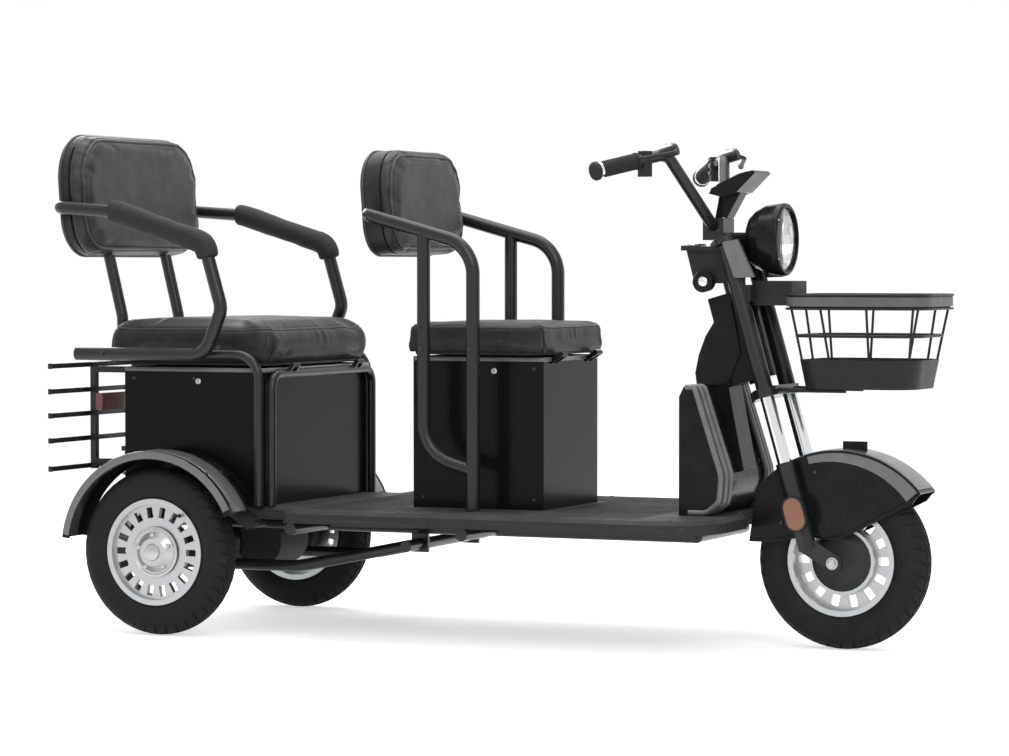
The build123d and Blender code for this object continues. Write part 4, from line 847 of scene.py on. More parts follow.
class SoftBody:
    """A padded shape that is remeshed, swollen as cloth and pressed along its seams."""

    def __init__(self, rings: Sequence[Sequence[Vector]], voxel_mm: float) -> None:
        """Keep the rings of the starting shape and the size of the remesh."""
        self.rings = rings
        self.voxel = voxel_mm / 1000

    def swell(
        self, name: str, held: Callable[[Vector], bool], cap_mm: float, pressure: float = 4.0
    ) -> bpy.types.Mesh:
        """Remesh the shape, swell it under pressure and divide it once.

        Args:
            name: Name for the mesh.
            held: Whether a point stays where it is.
            cap_mm: The furthest that a point may move.
            pressure: The cloth's pressure.

        Returns:
            The finished mesh.
        """
        form = Form()
        form.rings(self.rings)
        work = bmesh.new()
        points = [work.verts.new(point) for point in form.points]
        for face in form.faces:
            work.faces.new([points[i] for i in face])
        bmesh.ops.remove_doubles(work, verts=work.verts, dist=1e-5)
        bmesh.ops.recalc_face_normals(work, faces=work.faces)
        mesh = bpy.data.meshes.new(name)
        work.to_mesh(mesh)
        work.free()
        shape = bpy.data.objects.new(name + "_working", mesh)
        bpy.context.scene.collection.objects.link(shape)
        remesh = shape.modifiers.new("remesh", "REMESH")
        remesh.mode = "VOXEL"
        remesh.voxel_size = self.voxel
        self._apply(shape)
        relax = shape.modifiers.new("relax", "SMOOTH")
        relax.factor = 0.5
        relax.iterations = 3
        self._apply(shape)
        self._blow(shape, held, cap_mm / 1000, pressure)
        divide = shape.modifiers.new("divide", "SUBSURF")
        divide.levels = divide.render_levels = 1
        self._apply(shape)
        done = shape.data
        bpy.data.objects.remove(shape)
        return done

    @staticmethod
    def _apply(shape: bpy.types.Object) -> None:
        """Replace an object's mesh by what its modifiers make of it."""
        graph = bpy.context.evaluated_depsgraph_get()
        made = bpy.data.meshes.new_from_object(shape.evaluated_get(graph))
        shape.modifiers.clear()
        old = shape.data
        shape.data = made
        bpy.data.meshes.remove(old)

    def _blow(
        self, shape: bpy.types.Object, held: Callable[[Vector], bool], cap: float, pressure: float
    ) -> None:
        """Run the cloth under pressure, then hold each point within the cap."""
        start = [v.co.copy() for v in shape.data.vertices]
        pins = shape.vertex_groups.new(name="pins")
        pins.add([i for i, co in enumerate(start) if held(co)], 1.0, "REPLACE")
        cloth = shape.modifiers.new("cloth", "CLOTH")
        cloth.settings.vertex_group_mass = "pins"
        cloth.settings.use_pressure = True
        cloth.settings.uniform_pressure_force = pressure
        cloth.settings.effector_weights.gravity = 0.0
        cloth.point_cache.frame_start = 1
        cloth.point_cache.frame_end = 20
        scene = bpy.context.scene
        for frame in range(1, 21):
            scene.frame_set(frame)
        self._apply(shape)
        scene.frame_set(1)
        for vertex, old in zip(shape.data.vertices, start):
            move = vertex.co - old
            if move.length > cap:
                vertex.co = old + move * (cap / move.length)


def press(mesh: bpy.types.Mesh, lines: Sequence[Sequence[Vector]], depth_mm: float, width_mm: float) -> None:
    """Pull a soft mesh in along sewn lines.

    Args:
        mesh: The mesh to press.
        lines: Closely spaced points along each line.
        depth_mm: How deep the middle of a line goes.
        width_mm: Half the width of the hollow.
    """
    tree = KDTree(sum(len(line) for line in lines))
    for index, point in enumerate(point for line in lines for point in line):
        tree.insert(point, index)
    tree.balance()
    width = width_mm / 1000
    normals = [v.normal.copy() for v in mesh.vertices]
    for vertex, normal in zip(mesh.vertices, normals):
        distance = tree.find(vertex.co)[2]
        if distance < 2.5 * width:
            vertex.co -= normal * depth_mm / 1000 * math.exp(-((distance / width) ** 2))


def laid(mesh: bpy.types.Mesh, points: Iterable[Vector], proud_mm: float) -> list[Vector]:
    """Drop points onto a mesh, and lift them a little off it."""
    tree = BVHTree.FromPolygons([v.co for v in mesh.vertices], [tuple(p.vertices) for p in mesh.polygons])
    placed = []
    for point in points:
        hit, normal, _, _ = tree.find_nearest(point)
        placed.append(hit + normal * proud_mm / 1000)
    return placed


def calmed(mesh: bpy.types.Mesh, points: Sequence[Vector], closed: bool, rounds: int = 14) -> list[Vector]:
    """Smooth a seam's line and keep it on its mesh.

    Args:
        mesh: The mesh that it lies on.
        points: The line's points.
        closed: Whether it is a loop.
        rounds: How often it is smoothed.

    Returns:
        The smoothed line.
    """
    line = [Vector(point) for point in points]
    for _ in range(rounds):
        inner = range(len(line)) if closed else range(1, len(line) - 1)
        moved = {i: (line[i - 1] + line[i] * 2 + line[(i + 1) % len(line)]) / 4 for i in inner}
        line = [moved.get(i, point) for i, point in enumerate(line)]
    return laid(mesh, line, 0.0)


def fit_box(
    mesh: bpy.types.Mesh, low: Vector, high: Vector, turn: Matrix | None = None, about: Vector | None = None
) -> None:
    """Scale a mesh so that it fills a box, in a turned frame where wanted.

    Args:
        mesh: The mesh to fit.
        low: The box's low corner, in the turned frame.
        high: The box's high corner.
        turn: Rotation from the turned frame to the row frame.
        about: The turned frame's origin.
    """
    turn = turn or Matrix.Identity(3)
    about = about or Vector((0, 0, 0))
    back = turn.transposed()
    local = [back @ (v.co - about) for v in mesh.vertices]
    least = Vector(min(p[i] for p in local) for i in range(3))
    most = Vector(max(p[i] for p in local) for i in range(3))
    for vertex, point in zip(mesh.vertices, local):
        share = Vector((point[i] - least[i]) / (most[i] - least[i]) for i in range(3))
        fitted = Vector(low[i] + (high[i] - low[i]) * share[i] for i in range(3))
        vertex.co = about + turn @ fitted


# Seats


@dataclass
class Cushion:
    """A seat cushion on its lid: swollen cover, piping round its top and corner seams."""

    name: str
    node: str
    body: Body
    rear: float
    front: float
    half_width: float
    bottom: float
    top: float
    front_roll: float
    rear_roll: float
    side_roll: float
    crown: float
    cap: float = 12.0
    voxel: float = 8.0
    shrink: float = 7.0

    def build(self) -> None:
        """Make the cover and its piping."""
        mesh = SoftBody(self._rings(), self.voxel).swell(
            self.name, lambda point: point.z < (self.bottom + 9) / 1000, self.cap
        )
        fit_box(
            mesh, spot(self.rear, -self.half_width, self.bottom), spot(self.front, self.half_width, self.top)
        )
        self._flatten(mesh)
        loops = self._seams(mesh)
        press(mesh, loops, 2.2, 5.0)
        self._creases(mesh)
        cover = self._object(mesh)
        piping = Form()
        for loop in loops[:1]:
            piping.tube(self._raised(mesh, loop, 0.9, True), 0.0026, 8, closed=True)
        for line in loops[1:]:
            piping.tube(self._raised(mesh, line, 0.5, False), 0.0016, 8)
        piping.piece(f"{self.name}_piping", Finishes.PIPING, self.body)

    @staticmethod
    def _raised(mesh: bpy.types.Mesh, line: Sequence[Vector], proud_mm: float, closed: bool) -> list[Vector]:
        """Lift a calmed seam line a little off the cover."""
        return laid(mesh, calmed(mesh, line, closed, 3), proud_mm)

    def _object(self, mesh: bpy.types.Mesh) -> bpy.types.Object:
        """Turn the mesh into the piece that stands in for the node."""
        mesh.polygons.foreach_set("use_smooth", [True] * len(mesh.polygons))
        return adopt(bpy.data.objects.new(self.name, mesh), Finishes.CUSHION, self.body, (self.node,))

    def _section(self, inset: float) -> list[tuple[float, float]]:
        """Side profile, pulled in all round by an inset."""
        rear, front = self.rear + self.shrink + inset, self.front - self.shrink - inset
        low, high = self.bottom + inset * 0.35, self.top - self.shrink - inset
        front_r = max(6.0, min(self.front_roll, (high - low) / 2 - 1) - inset * 0.4)
        rear_r = max(5.0, self.rear_roll - inset * 0.4)
        outline = [(rear + 10, low), (front - front_r * 0.6, low)]
        outline += arc((front - front_r, low + front_r), front_r, -50, 0, 6)
        outline += arc((front - front_r, high - front_r), front_r, 0, 90, 10)
        middle = [(front - front_r + (rear + rear_r - front + front_r) * k / 8, high) for k in range(1, 8)]
        outline += [(x, z + self.crown * math.sin(math.pi * k / 8)) for k, (x, z) in enumerate(middle, 1)]
        outline += arc((rear + rear_r, high - rear_r), rear_r, 90, 180, 8)
        outline += [(rear, low + 10)]
        return outline

    def _rings(self) -> list[list[Vector]]:
        """Rings across the seat from the right side to the left."""
        half = self.half_width - self.shrink
        roll = self.side_roll
        stations: list[tuple[float, float]] = []
        for k in range(9):
            turn = math.pi / 2 * k / 8
            stations.append((-half + roll * (1 - math.sin(turn)), roll * (1 - math.cos(turn))))
        sides = sorted(stations, key=lambda item: item[0])
        rings = [[spot(x, y, z) for x, z in self._section(inset)] for y, inset in sides]
        flat = [
            [spot(x, y, z) for x, z in self._section(0.0)]
            for y in np.linspace(sides[-1][0] + 10, -sides[-1][0] - 10, 20)
        ]
        other = [[spot(x, -y, z) for x, z in self._section(inset)] for y, inset in reversed(sides)]
        return rings + flat + other

    def _flatten(self, mesh: bpy.types.Mesh) -> None:
        """Hold the underside flat where it rests on its pan."""
        low = (self.bottom + 6) / 1000
        for vertex in mesh.vertices:
            if vertex.co.z < low:
                vertex.co.z = self.bottom / 1000 + (vertex.co.z - self.bottom / 1000) * 0.15

    def _seams(self, mesh: bpy.types.Mesh) -> list[list[Vector]]:
        """Find the seam round the top and the upright seams at the corners."""
        middle = (self.rear + self.front) / 2
        half_x = (self.front - self.rear) / 2
        around = spaced(
            rounded(half_x - self.rear_roll * 0.3, self.half_width - self.side_roll * 0.3, 34.0), 6.0
        )
        height = self.top - self.side_roll * 0.45
        ring = calmed(mesh, laid(mesh, [spot(middle + x, y, height) for x, y in around], 0.0), True)
        uprights = []
        for x in (self.rear + 16, self.front - 16):
            for y in (-self.half_width + 16, self.half_width - 16):
                heights = np.linspace(height - 2, self.bottom + 10, 14)
                corner = [
                    spot(x + math.copysign(30, x - middle), y + math.copysign(30, y), z) for z in heights
                ]
                uprights.append(calmed(mesh, laid(mesh, corner, 0.0), False, 6))
        return [ring, *uprights]

    def _creases(self, mesh: bpy.types.Mesh) -> None:
        """Press soft folds into the cover, which run down from its top seam."""
        middle_x = (self.rear + self.front) / 2 / 1000 - ORIGIN_MM / 1000
        normals = [vertex.normal.copy() for vertex in mesh.vertices]
        for vertex, normal in zip(mesh.vertices, normals):
            co = vertex.co.copy()
            if co.z < (self.bottom + 8) / 1000:
                continue
            turn = math.atan2(co.y, co.x - middle_x)
            fold = math.sin(turn * 23 + 3 * math.sin(turn * 5)) * math.sin(turn * 7 + 1.3)
            level = (co.z * 1000 - self.bottom) / (self.top - self.bottom)
            strength = math.exp(-(((level - 0.62) / 0.22) ** 2))
            wave = noise.noise(co * 14) * 0.0016
            vertex.co -= normal * (fold * strength * 0.0011 + wave * min(1.0, level))


@dataclass
class BackPad:
    """A padded backrest front on its shell, with piping at the front and rear edges."""

    name: str
    node: str
    front: float
    middle: float
    half_width: float
    height: float
    top_r: float
    bottom_r: float
    depth: float
    shell_depth: float
    lean: float = 4.0
    voxel: float = 9.0
    roll: float = 16.0
    shrink: float = 6.0

    def __post_init__(self) -> None:
        """Work out the leaning frame: X across, Y up the pad, Z out of its front."""
        lean = math.radians(self.lean)
        out = Vector((math.cos(lean), 0, math.sin(lean)))
        up = Vector((-math.sin(lean), 0, math.cos(lean)))
        self.turn = Matrix((up.cross(out), up, out)).transposed()
        self.about = spot(self.front, 0, self.middle)

    def at(self, across: float, up: float, out: float) -> Vector:
        """Point on the leaning frame, in millimetres."""
        return self.about + self.turn @ Vector((across, up, out)) / 1000

    def outline(self, inset: float) -> list[tuple[float, float]]:
        """The pad's outline, pulled in by an inset."""
        half_x, half_y = self.half_width - inset, self.height / 2 - inset
        points: list[tuple[float, float]] = []
        for sx, sy, start, radius in (
            (1, 1, 0, self.top_r),
            (-1, 1, 90, self.top_r),
            (-1, -1, 180, self.bottom_r),
            (1, -1, 270, self.bottom_r),
        ):
            radius = max(8.0, radius - inset)
            points += arc((sx * (half_x - radius), sy * (half_y - radius)), radius, start, start + 90, 12)
        return points

    def build(self) -> None:
        """Make the cover, its sewn panel and its piping."""
        mesh = SoftBody(self._rings(), self.voxel).swell(self.name, self._held, 9.0)
        low = Vector((-self.half_width, -self.height / 2, -self.depth)) / 1000
        high = Vector((self.half_width, self.height / 2, 0)) / 1000
        fit_box(mesh, low, high, self.turn, self.about)
        self._dish(mesh)
        edge = calmed(
            mesh, laid(mesh, [self.at(x, y, -3) for x, y in spaced(self.outline(7), 6.0)], 0.0), True
        )
        press(mesh, [edge], 3.0, 5.0)
        mesh.polygons.foreach_set("use_smooth", [True] * len(mesh.polygons))
        cover = adopt(bpy.data.objects.new(self.name, mesh), Finishes.SEAT, Body.FRAME, (self.node,))
        piping = Form()
        piping.tube(laid(mesh, edge, 1.6), 0.0036, 8, closed=True)
        rear = [self.at(x, y, -self.depth - self.shell_depth + 6) for x, y in spaced(self.outline(-0.5), 8.0)]
        piping.tube(rear, 0.0032, 8, closed=True)
        piping.piece(f"{self.name}_piping", Finishes.PIPING, Body.FRAME)
        stitches = Form()
        thread = laid(mesh, [self.at(x, y, 5) for x, y in spaced(self.outline(19), 3.2)], 0.3)
        for a, b in zip(thread[::2], thread[1::2]):
            stitches.tube([a, a.lerp(b, 0.5) + self.turn.col[2] * 0.0004, b], 0.0007, 5)
        stitches.piece(f"{self.name}_stitching", Finishes.THREAD, Body.FRAME)

    def _held(self, point: Vector) -> bool:
        """Whether a point lies at the back of the pad."""
        local = self.turn.transposed() @ (point - self.about)
        return local.z < (-self.depth + 8) / 1000

    def _rings(self) -> list[list[Vector]]:
        """Rings from the back of the pad to its front."""
        rings = []
        roll = min(self.roll, self.depth - 12)
        for out, inset in ((-self.depth, 2.0), (-self.depth + 6, 0.0)):
            rings.append([self.at(x, y, out) for x, y in self.outline(self.shrink + inset)])
        front = -self.shrink
        for k in range(9):
            turn = math.pi / 2 * k / 8
            out = front - roll + roll * math.sin(turn)
            rings.append(
                [self.at(x, y, out) for x, y in self.outline(self.shrink + roll * (1 - math.cos(turn)))]
            )
        for inset in (self.shrink + roll + 20, self.shrink + roll + 45, self.shrink + roll + 75):
            rings.append([self.at(x, y, front) for x, y in self.outline(inset)])
        return rings

    def _dish(self, mesh: bpy.types.Mesh) -> None:
        """Hollow the front a little where a back leans, and add slow waves."""
        back = self.turn.transposed()
        for vertex in mesh.vertices:
            local = back @ (vertex.co - self.about)
            share = max(0.0, (local.z + self.depth / 2000) / (self.depth / 2000))
            across = local.x / (self.half_width / 1000)
            hollow = 0.004 * max(0.0, 1 - across * across)
            wave = noise.noise(vertex.co * 11) * 0.0022
            vertex.co -= self.turn.col[2] * (hollow + wave + 0.001) * share


@dataclass
class ArmSleeves:
    """Foam sleeves over the rear seat's arms, with a drooping front end."""

    radius: float = 28.0
    side: float = 331.0
    stations: tuple[tuple[float, float], ...] = (
        (-162, 1041), (-150, 1040), (-120, 1032), (-60, 1012.5), (0, 993.5), (50, 977.5), (84, 966.5),
        (97, 958.5), (106, 945),
        (110.8, 925.6),
    )

    def build(self) -> None:
        """Sweep both sleeves, with wrinkles."""
        for side in Side:
            form = Form()
            path = self._path(side)
            form.tube(path, self._radius, 40)
            sleeve = form.piece(f"arm_sleeve_{side.name.lower()}", Finishes.FOAM, Body.FRAME, sharp=70)
            self._wrinkle(sleeve.data)
            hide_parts("arm_pads")

    def _path(self, side: Side) -> list[Vector]:
        """Smooth the arm's run into close steps."""
        rough = [spot(x, self.side * side.value, z) for x, z in self.stations]
        smooth: list[Vector] = []
        for index in range(len(rough) - 1):
            a, b = rough[index], rough[index + 1]
            before = rough[max(0, index - 1)]
            after = rough[min(len(rough) - 1, index + 2)]
            steps = max(2, round((b - a).length / 0.004))
            for k in range(steps):
                t = k / steps
                smooth.append(
                    0.5 * (2 * a + (b - before) * t + (2 * before - 5 * a + 4 * b - after) * t * t
                           + (3 * a - before - 3 * b + after) * t * t * t)
                )
        return smooth + [rough[-1]]

    def _radius(self, share: float) -> float:
        """Radius along the sleeve, rounded at both ends."""
        ends = min(share / 0.035, (1 - share) / 0.05, 1.0)
        belly = 1.0 + 0.03 * math.sin(share * 9.0)
        return self.radius / 1000 * (0.78 + 0.22 * math.sqrt(max(0.0, 1 - (1 - ends) ** 2))) * belly / 1.03

    def _wrinkle(self, mesh: bpy.types.Mesh) -> None:
        """Press fine wrinkles into the foam."""
        normals = [vertex.normal.copy() for vertex in mesh.vertices]
        for vertex, normal in zip(mesh.vertices, normals):
            co = vertex.co.copy()
            bend = math.exp(-(((co.x * 1000 + ORIGIN_MM - 95) / 22) ** 2))
            ripple = math.sin((co.z + co.x * 0.6) * 900) * 0.0007 * bend
            vertex.co += normal * (noise.noise(co * 30) * 0.0009 + ripple)


class Seats:
    """Both seats with their backs and arms."""

    def build(self) -> None:
        """Make every soft piece."""
        Cushion(
            "rear_seat_cover", "rear_cushion", Body.REAR_LID, -215, 256, 285, 666, 777, 52, 30, 40, 5.0
        ).build()
        Cushion(
            "middle_seat_cover", "middle_cushion", Body.MIDDLE_LID, 583, 946, 200, 697, 771, 16, 14, 15, 2.0,
            cap=5.0, voxel=7.0, shrink=4.0
        ).build()
        BackPad("rear_back_cover", "rear_back_pad", -250, 1088, 304, 304.7, 120, 95, 50, 28).build()
        BackPad(
            "middle_back_cover", "middle_back_pad", 560, 1064.5, 212, 255.6, 95, 75, 40, 50, voxel=8.0,
            roll=13
        ).build()
        ArmSleeves().build()


# Wheels and springs


@dataclass
class Tyre:
    """A hollow tyre with grooves and sipes cut into its tread."""

    name: str
    node: str
    body: Body
    station: float
    side: float
    radius: float
    width: float
    bead_r: float = 124.0
    flange_r: float = 131.0
    wall: float = 9.0
    sides: int = 640

    def build(self) -> None:
        """Turn the section in small steps, and cut the tread as it goes."""
        outside = self._outside()
        inside = self._inside()
        section = outside + inside
        centre = spot(self.station, self.side, self.radius)
        rings = []
        for k in range(self.sides):
            turn = math.tau * k / self.sides
            up = Vector((math.sin(turn), 0, math.cos(turn)))
            ring = []
            for index, (across, radius) in enumerate(section):
                cut = self._cut(across, radius, k) if index < len(outside) else 0.0
                ring.append(centre + Vector((0, across / 1000, 0)) + up * (radius - cut) / 1000)
            rings.append(ring)
        form = Form()
        form.rings(rings, closed=True)
        form.piece(self.name, Finishes.TYRE, self.body, (self.node,), sharp=32)

    def _outside(self) -> list[tuple[float, float]]:
        """Outer section from one bead to the other."""
        half = self.width / 2
        bead = self.width * 0.40 - 4.2
        shoulder, shoulder_r = half * 0.80, self.radius - 15
        belly_r = (self.radius + self.bead_r) / 2 - 4
        side_wall = self._bow((bead, self.flange_r + 2), (half, belly_r), (shoulder, shoulder_r), 12)
        crown = self._bow((shoulder, shoulder_r), (0, self.radius), (-shoulder, shoulder_r), 34)
        section = [
            (bead, self.bead_r), *side_wall, *crown[1:-1], *((-y, r) for y, r in reversed(side_wall)),
            (-bead, self.bead_r)
        ]
        return [(-y, r) for y, r in section]

    def _inside(self) -> list[tuple[float, float]]:
        """Inner section back to the first bead."""
        half = self.width / 2 - self.wall
        bead = self.width * 0.40 - 4.2 - self.wall
        belly_r = (self.radius + self.bead_r) / 2 - 4
        curve = self._bow((bead, self.bead_r + 8), (half, belly_r), (half * 0.75, self.radius - 27), 6)
        top = self._bow(
            (half * 0.75, self.radius - 27), (0, self.radius - self.wall - 4),
            (-half * 0.75, self.radius - 27), 8
        )
        loop = [
            (bead, self.bead_r), *curve, *top[1:-1], *((-y, r) for y, r in reversed(curve)),
            (-bead, self.bead_r)
        ]
        return loop

    @staticmethod
    def _bow(
        start: tuple[float, float], middle: tuple[float, float], end: tuple[float, float], steps: int
    ) -> list[tuple[float, float]]:
        """Arc through three points of a section."""
        (ax, ay), (bx, by), (cx, cy) = start, middle, end
        d = 2 * (ax * (by - cy) + bx * (cy - ay) + cx * (ay - by))
        ux = ((ax**2 + ay**2) * (by - cy) + (bx**2 + by**2) * (cy - ay) + (cx**2 + cy**2) * (ay - by)) / d
        uy = ((ax**2 + ay**2) * (cx - bx) + (bx**2 + by**2) * (ax - cx) + (cx**2 + cy**2) * (bx - ax)) / d
        radius = math.hypot(ax - ux, ay - uy)
        a0, a1, a2 = (math.atan2(y - uy, x - ux) for x, y in (start, middle, end))
        while a1 - a0 > math.pi:
            a1 -= math.tau
        while a1 - a0 < -math.pi:
            a1 += math.tau
        while a2 - a1 > math.pi:
            a2 -= math.tau
        while a2 - a1 < -math.pi:
            a2 += math.tau
        return [
            (
                ux + radius * math.cos(a0 + (a2 - a0) * k / steps),
                uy + radius * math.sin(a0 + (a2 - a0) * k / steps)
            )
            for k in range(steps + 1)
        ]

    def _cut(self, across: float, radius: float, step: int) -> float:
        """Depth of the tread's grooves at a point of the outer section."""
        half = self.width / 2
        share = across / half
        if radius < self.radius - 22:
            ring = abs(radius - (self.flange_r + 12))
            return -1.0 if ring < 2.2 and abs(share) > 0.7 else 0.0
        phase = step / self.sides * 40
        zig = 0.07 * (abs((phase % 1.0) * 4 - 2) - 1)
        grooves = (abs(share - 0.0 - zig), abs(share - 0.36 + zig), abs(share + 0.36 - zig))
        depth = 4.0 if min(grooves) < 0.05 else 0.0
        if abs(share) > 0.44:
            lateral = (phase * 1.0 + (0.5 if share > 0 else 0.0) + 0.8 * (abs(share) - 0.44)) % 1.0
            if lateral < 0.2:
                depth = 4.2
        elif abs(share) > 0.12:
            sipe = (phase * 1.0 + 0.25 + 1.4 * share) % 1.0
            if sipe < 0.09:
                depth = max(depth, 2.6)
        return depth


@dataclass
class WheelTrim:
    """Centre cap, bolts and valve of a wheel, on the side that faces out."""

    name: str
    body: Body
    station: float
    side: float
    radius: float
    outward: int
    face: float

    def build(self) -> None:
        """Turn the domed cap with its rings, and set the bolts and the valve."""
        centre = spot(self.station, self.side, self.radius)
        out = Vector((0, self.outward, 0))
        cap = Form()
        profile = [
            (self.face, 62), (self.face + 2.5, 62), (self.face + 3.5, 60), (self.face + 3.5, 56),
            (self.face + 2, 54)
        ]
        profile += [
            (self.face + 2, 50), (self.face + 4, 48), (self.face + 13, 36), (self.face + 15, 34),
            (self.face + 15, 31)
        ]
        profile += [
            (self.face + 13.5, 29), (self.face + 14, 22), (self.face + 19, 19.5), (self.face + 21, 15),
            (self.face + 21.5, 0)
        ]
        cap.lathe([(self.face, 0.0), *profile], centre, out, 72)
        cap.piece(f"{self.name}_cap", Finishes.ALLOY, self.body, sharp=28)
        bolts = Form()
        for k in range(5):
            turn = math.tau * (k + 0.3) / 5
            place = centre + Vector((math.cos(turn), 0, math.sin(turn))) * 0.043
            bolts.lathe(
                [(self.face + 3, 6.5), (self.face + 10, 6.5), (self.face + 11.5, 5.2), (self.face + 11.5, 0)],
                place, out, 6
            )
        bolts.piece(f"{self.name}_bolts", Finishes.ZINC, self.body, bevel_mm=0.5)
        valve = Form()
        foot = centre + Vector((math.cos(0.9), 0, math.sin(0.9))) * 0.1165 + out * (self.face + 4) / 1000
        valve.lathe(
            [(0, 0), (0, 5), (6, 4.5), (9, 3.2), (22, 3.0), (22, 4), (30, 4), (31, 3), (31, 0)], foot, out, 14
        )
        valve.piece(f"{self.name}_valve", Finishes.PLASTIC, self.body)


class Springs:
    """Coil springs over the rear dampers, with their seats and eyes."""

    station = -184.0
    side = 205.0

    def build(self) -> None:
        """Make both units in place of the plain CAD ones."""
        body = Form()
        coils = Form()
        for side in Side:
            y = self.side * side.value
            foot = spot(self.station, y, 0)
            up = Vector((0, 0, 1))
            body.lathe(
                [
                    (193, 0), (193, 12.5), (224, 12.5), (226, 21), (231, 21), (233, 13), (300, 13), (301, 9),
                    (402, 8), (403, 21), (409, 21), (411, 13), (438, 13), (440, 11), (440, 0)
                ],
                foot, up, 28
            )
            body.prism(
                [
                    spot(x, y - 18, z) for x,
                    z in ((-148.5, 400), (-148.5, 452), (-198, 452), (-198, 440), (-160, 440))
                ],
                Vector((0, 0.036, 0))
            )
            turns = 8.5
            path = []
            for k in range(260):
                share = k / 259
                angle = math.tau * turns * share
                path.append(
                    spot(
                        self.station + 17.6 * math.cos(angle), y + 17.6 * math.sin(angle), 233.4 + 167 * share
                    )
                )
            coils.tube(path, 0.0033, 8)
        body.piece("shock_bodies", Finishes.FRAME_PAINT, Body.FRAME, ("rear_shocks",))
        coils.piece("shock_springs", Finishes.COIL, Body.FRAME)


class Wheels:
    """Tyres, trims and springs."""

    def build(self) -> None:
        """Make every piece of the running gear that is laid over the CAD."""
        for side, body in ((Side.LEFT, Body.REAR_LEFT), (Side.RIGHT, Body.REAR_RIGHT)):
            label = side.name.lower()
            Tyre(f"rear_tread_{label}", f"rear_tyre_{label}", body, 0, side.value * 375, 205, 86).build()
            WheelTrim(f"rear_hub_{label}", body, 0, side.value * 375, 205, side.value, 27.0).build()
        Tyre("front_tread", "front_tyre", Body.FRONT_WHEEL, 1638, 0, 210, 90).build()
        Springs().build()


# Front end


class Lamp:
    """What the headlamp shows through its lens, with its bezel and screws."""

    rear = 1400.0
    height = 968.0

    def build(self) -> None:
        """Make the faceted bowl, the bulb and the bezel."""
        start = spot(self.rear, 0, self.height)
        ahead = Vector((1, 0, 0))
        bowl = Form()
        inside = [(22, 7), (24, 20), (30, 33), (39, 46), (50, 57), (62, 64), (74, 69)]
        outside = [(74, 70.2), (60, 66.5), (46, 60), (30, 42), (18, 26), (16, 7)]
        bowl.lathe(inside + outside, start, ahead, 20, closed=True)
        bowl.piece("lamp_reflector", Finishes.CHROME, Body.STEERING, sharp=4)
        bulb = Form()
        bulb.lathe(
            [(17, 0), (17, 9), (30, 9), (32, 11), (44, 11), (50, 9), (54, 5), (55.5, 0)], start, ahead, 24
        )
        bulb.piece("lamp_bulb", Finishes.BULB, Body.STEERING)
        bezel = Form()
        ring = [
            (88, 75.6), (92.6, 76), (93.6, 78.5), (93.2, 82), (90.5, 85.8), (84, 87), (83, 86.2), (88, 83)
        ]
        bezel.lathe(ring, start, ahead, 96, closed=True)
        bezel.piece("lamp_bezel", Finishes.GLOSS, Body.STEERING, sharp=50)
        screws = Form()
        for turn in (0.6, 2.55, 3.75, 5.7):
            place = start + Vector((0, math.cos(turn), math.sin(turn))) * 0.0807
            screws.lathe([(90, 0), (90, 2.6), (94.2, 2.6), (94.8, 1.6), (94.8, 0)], place, ahead, 12)
        screws.piece("lamp_screws", Finishes.ZINC, Body.STEERING)


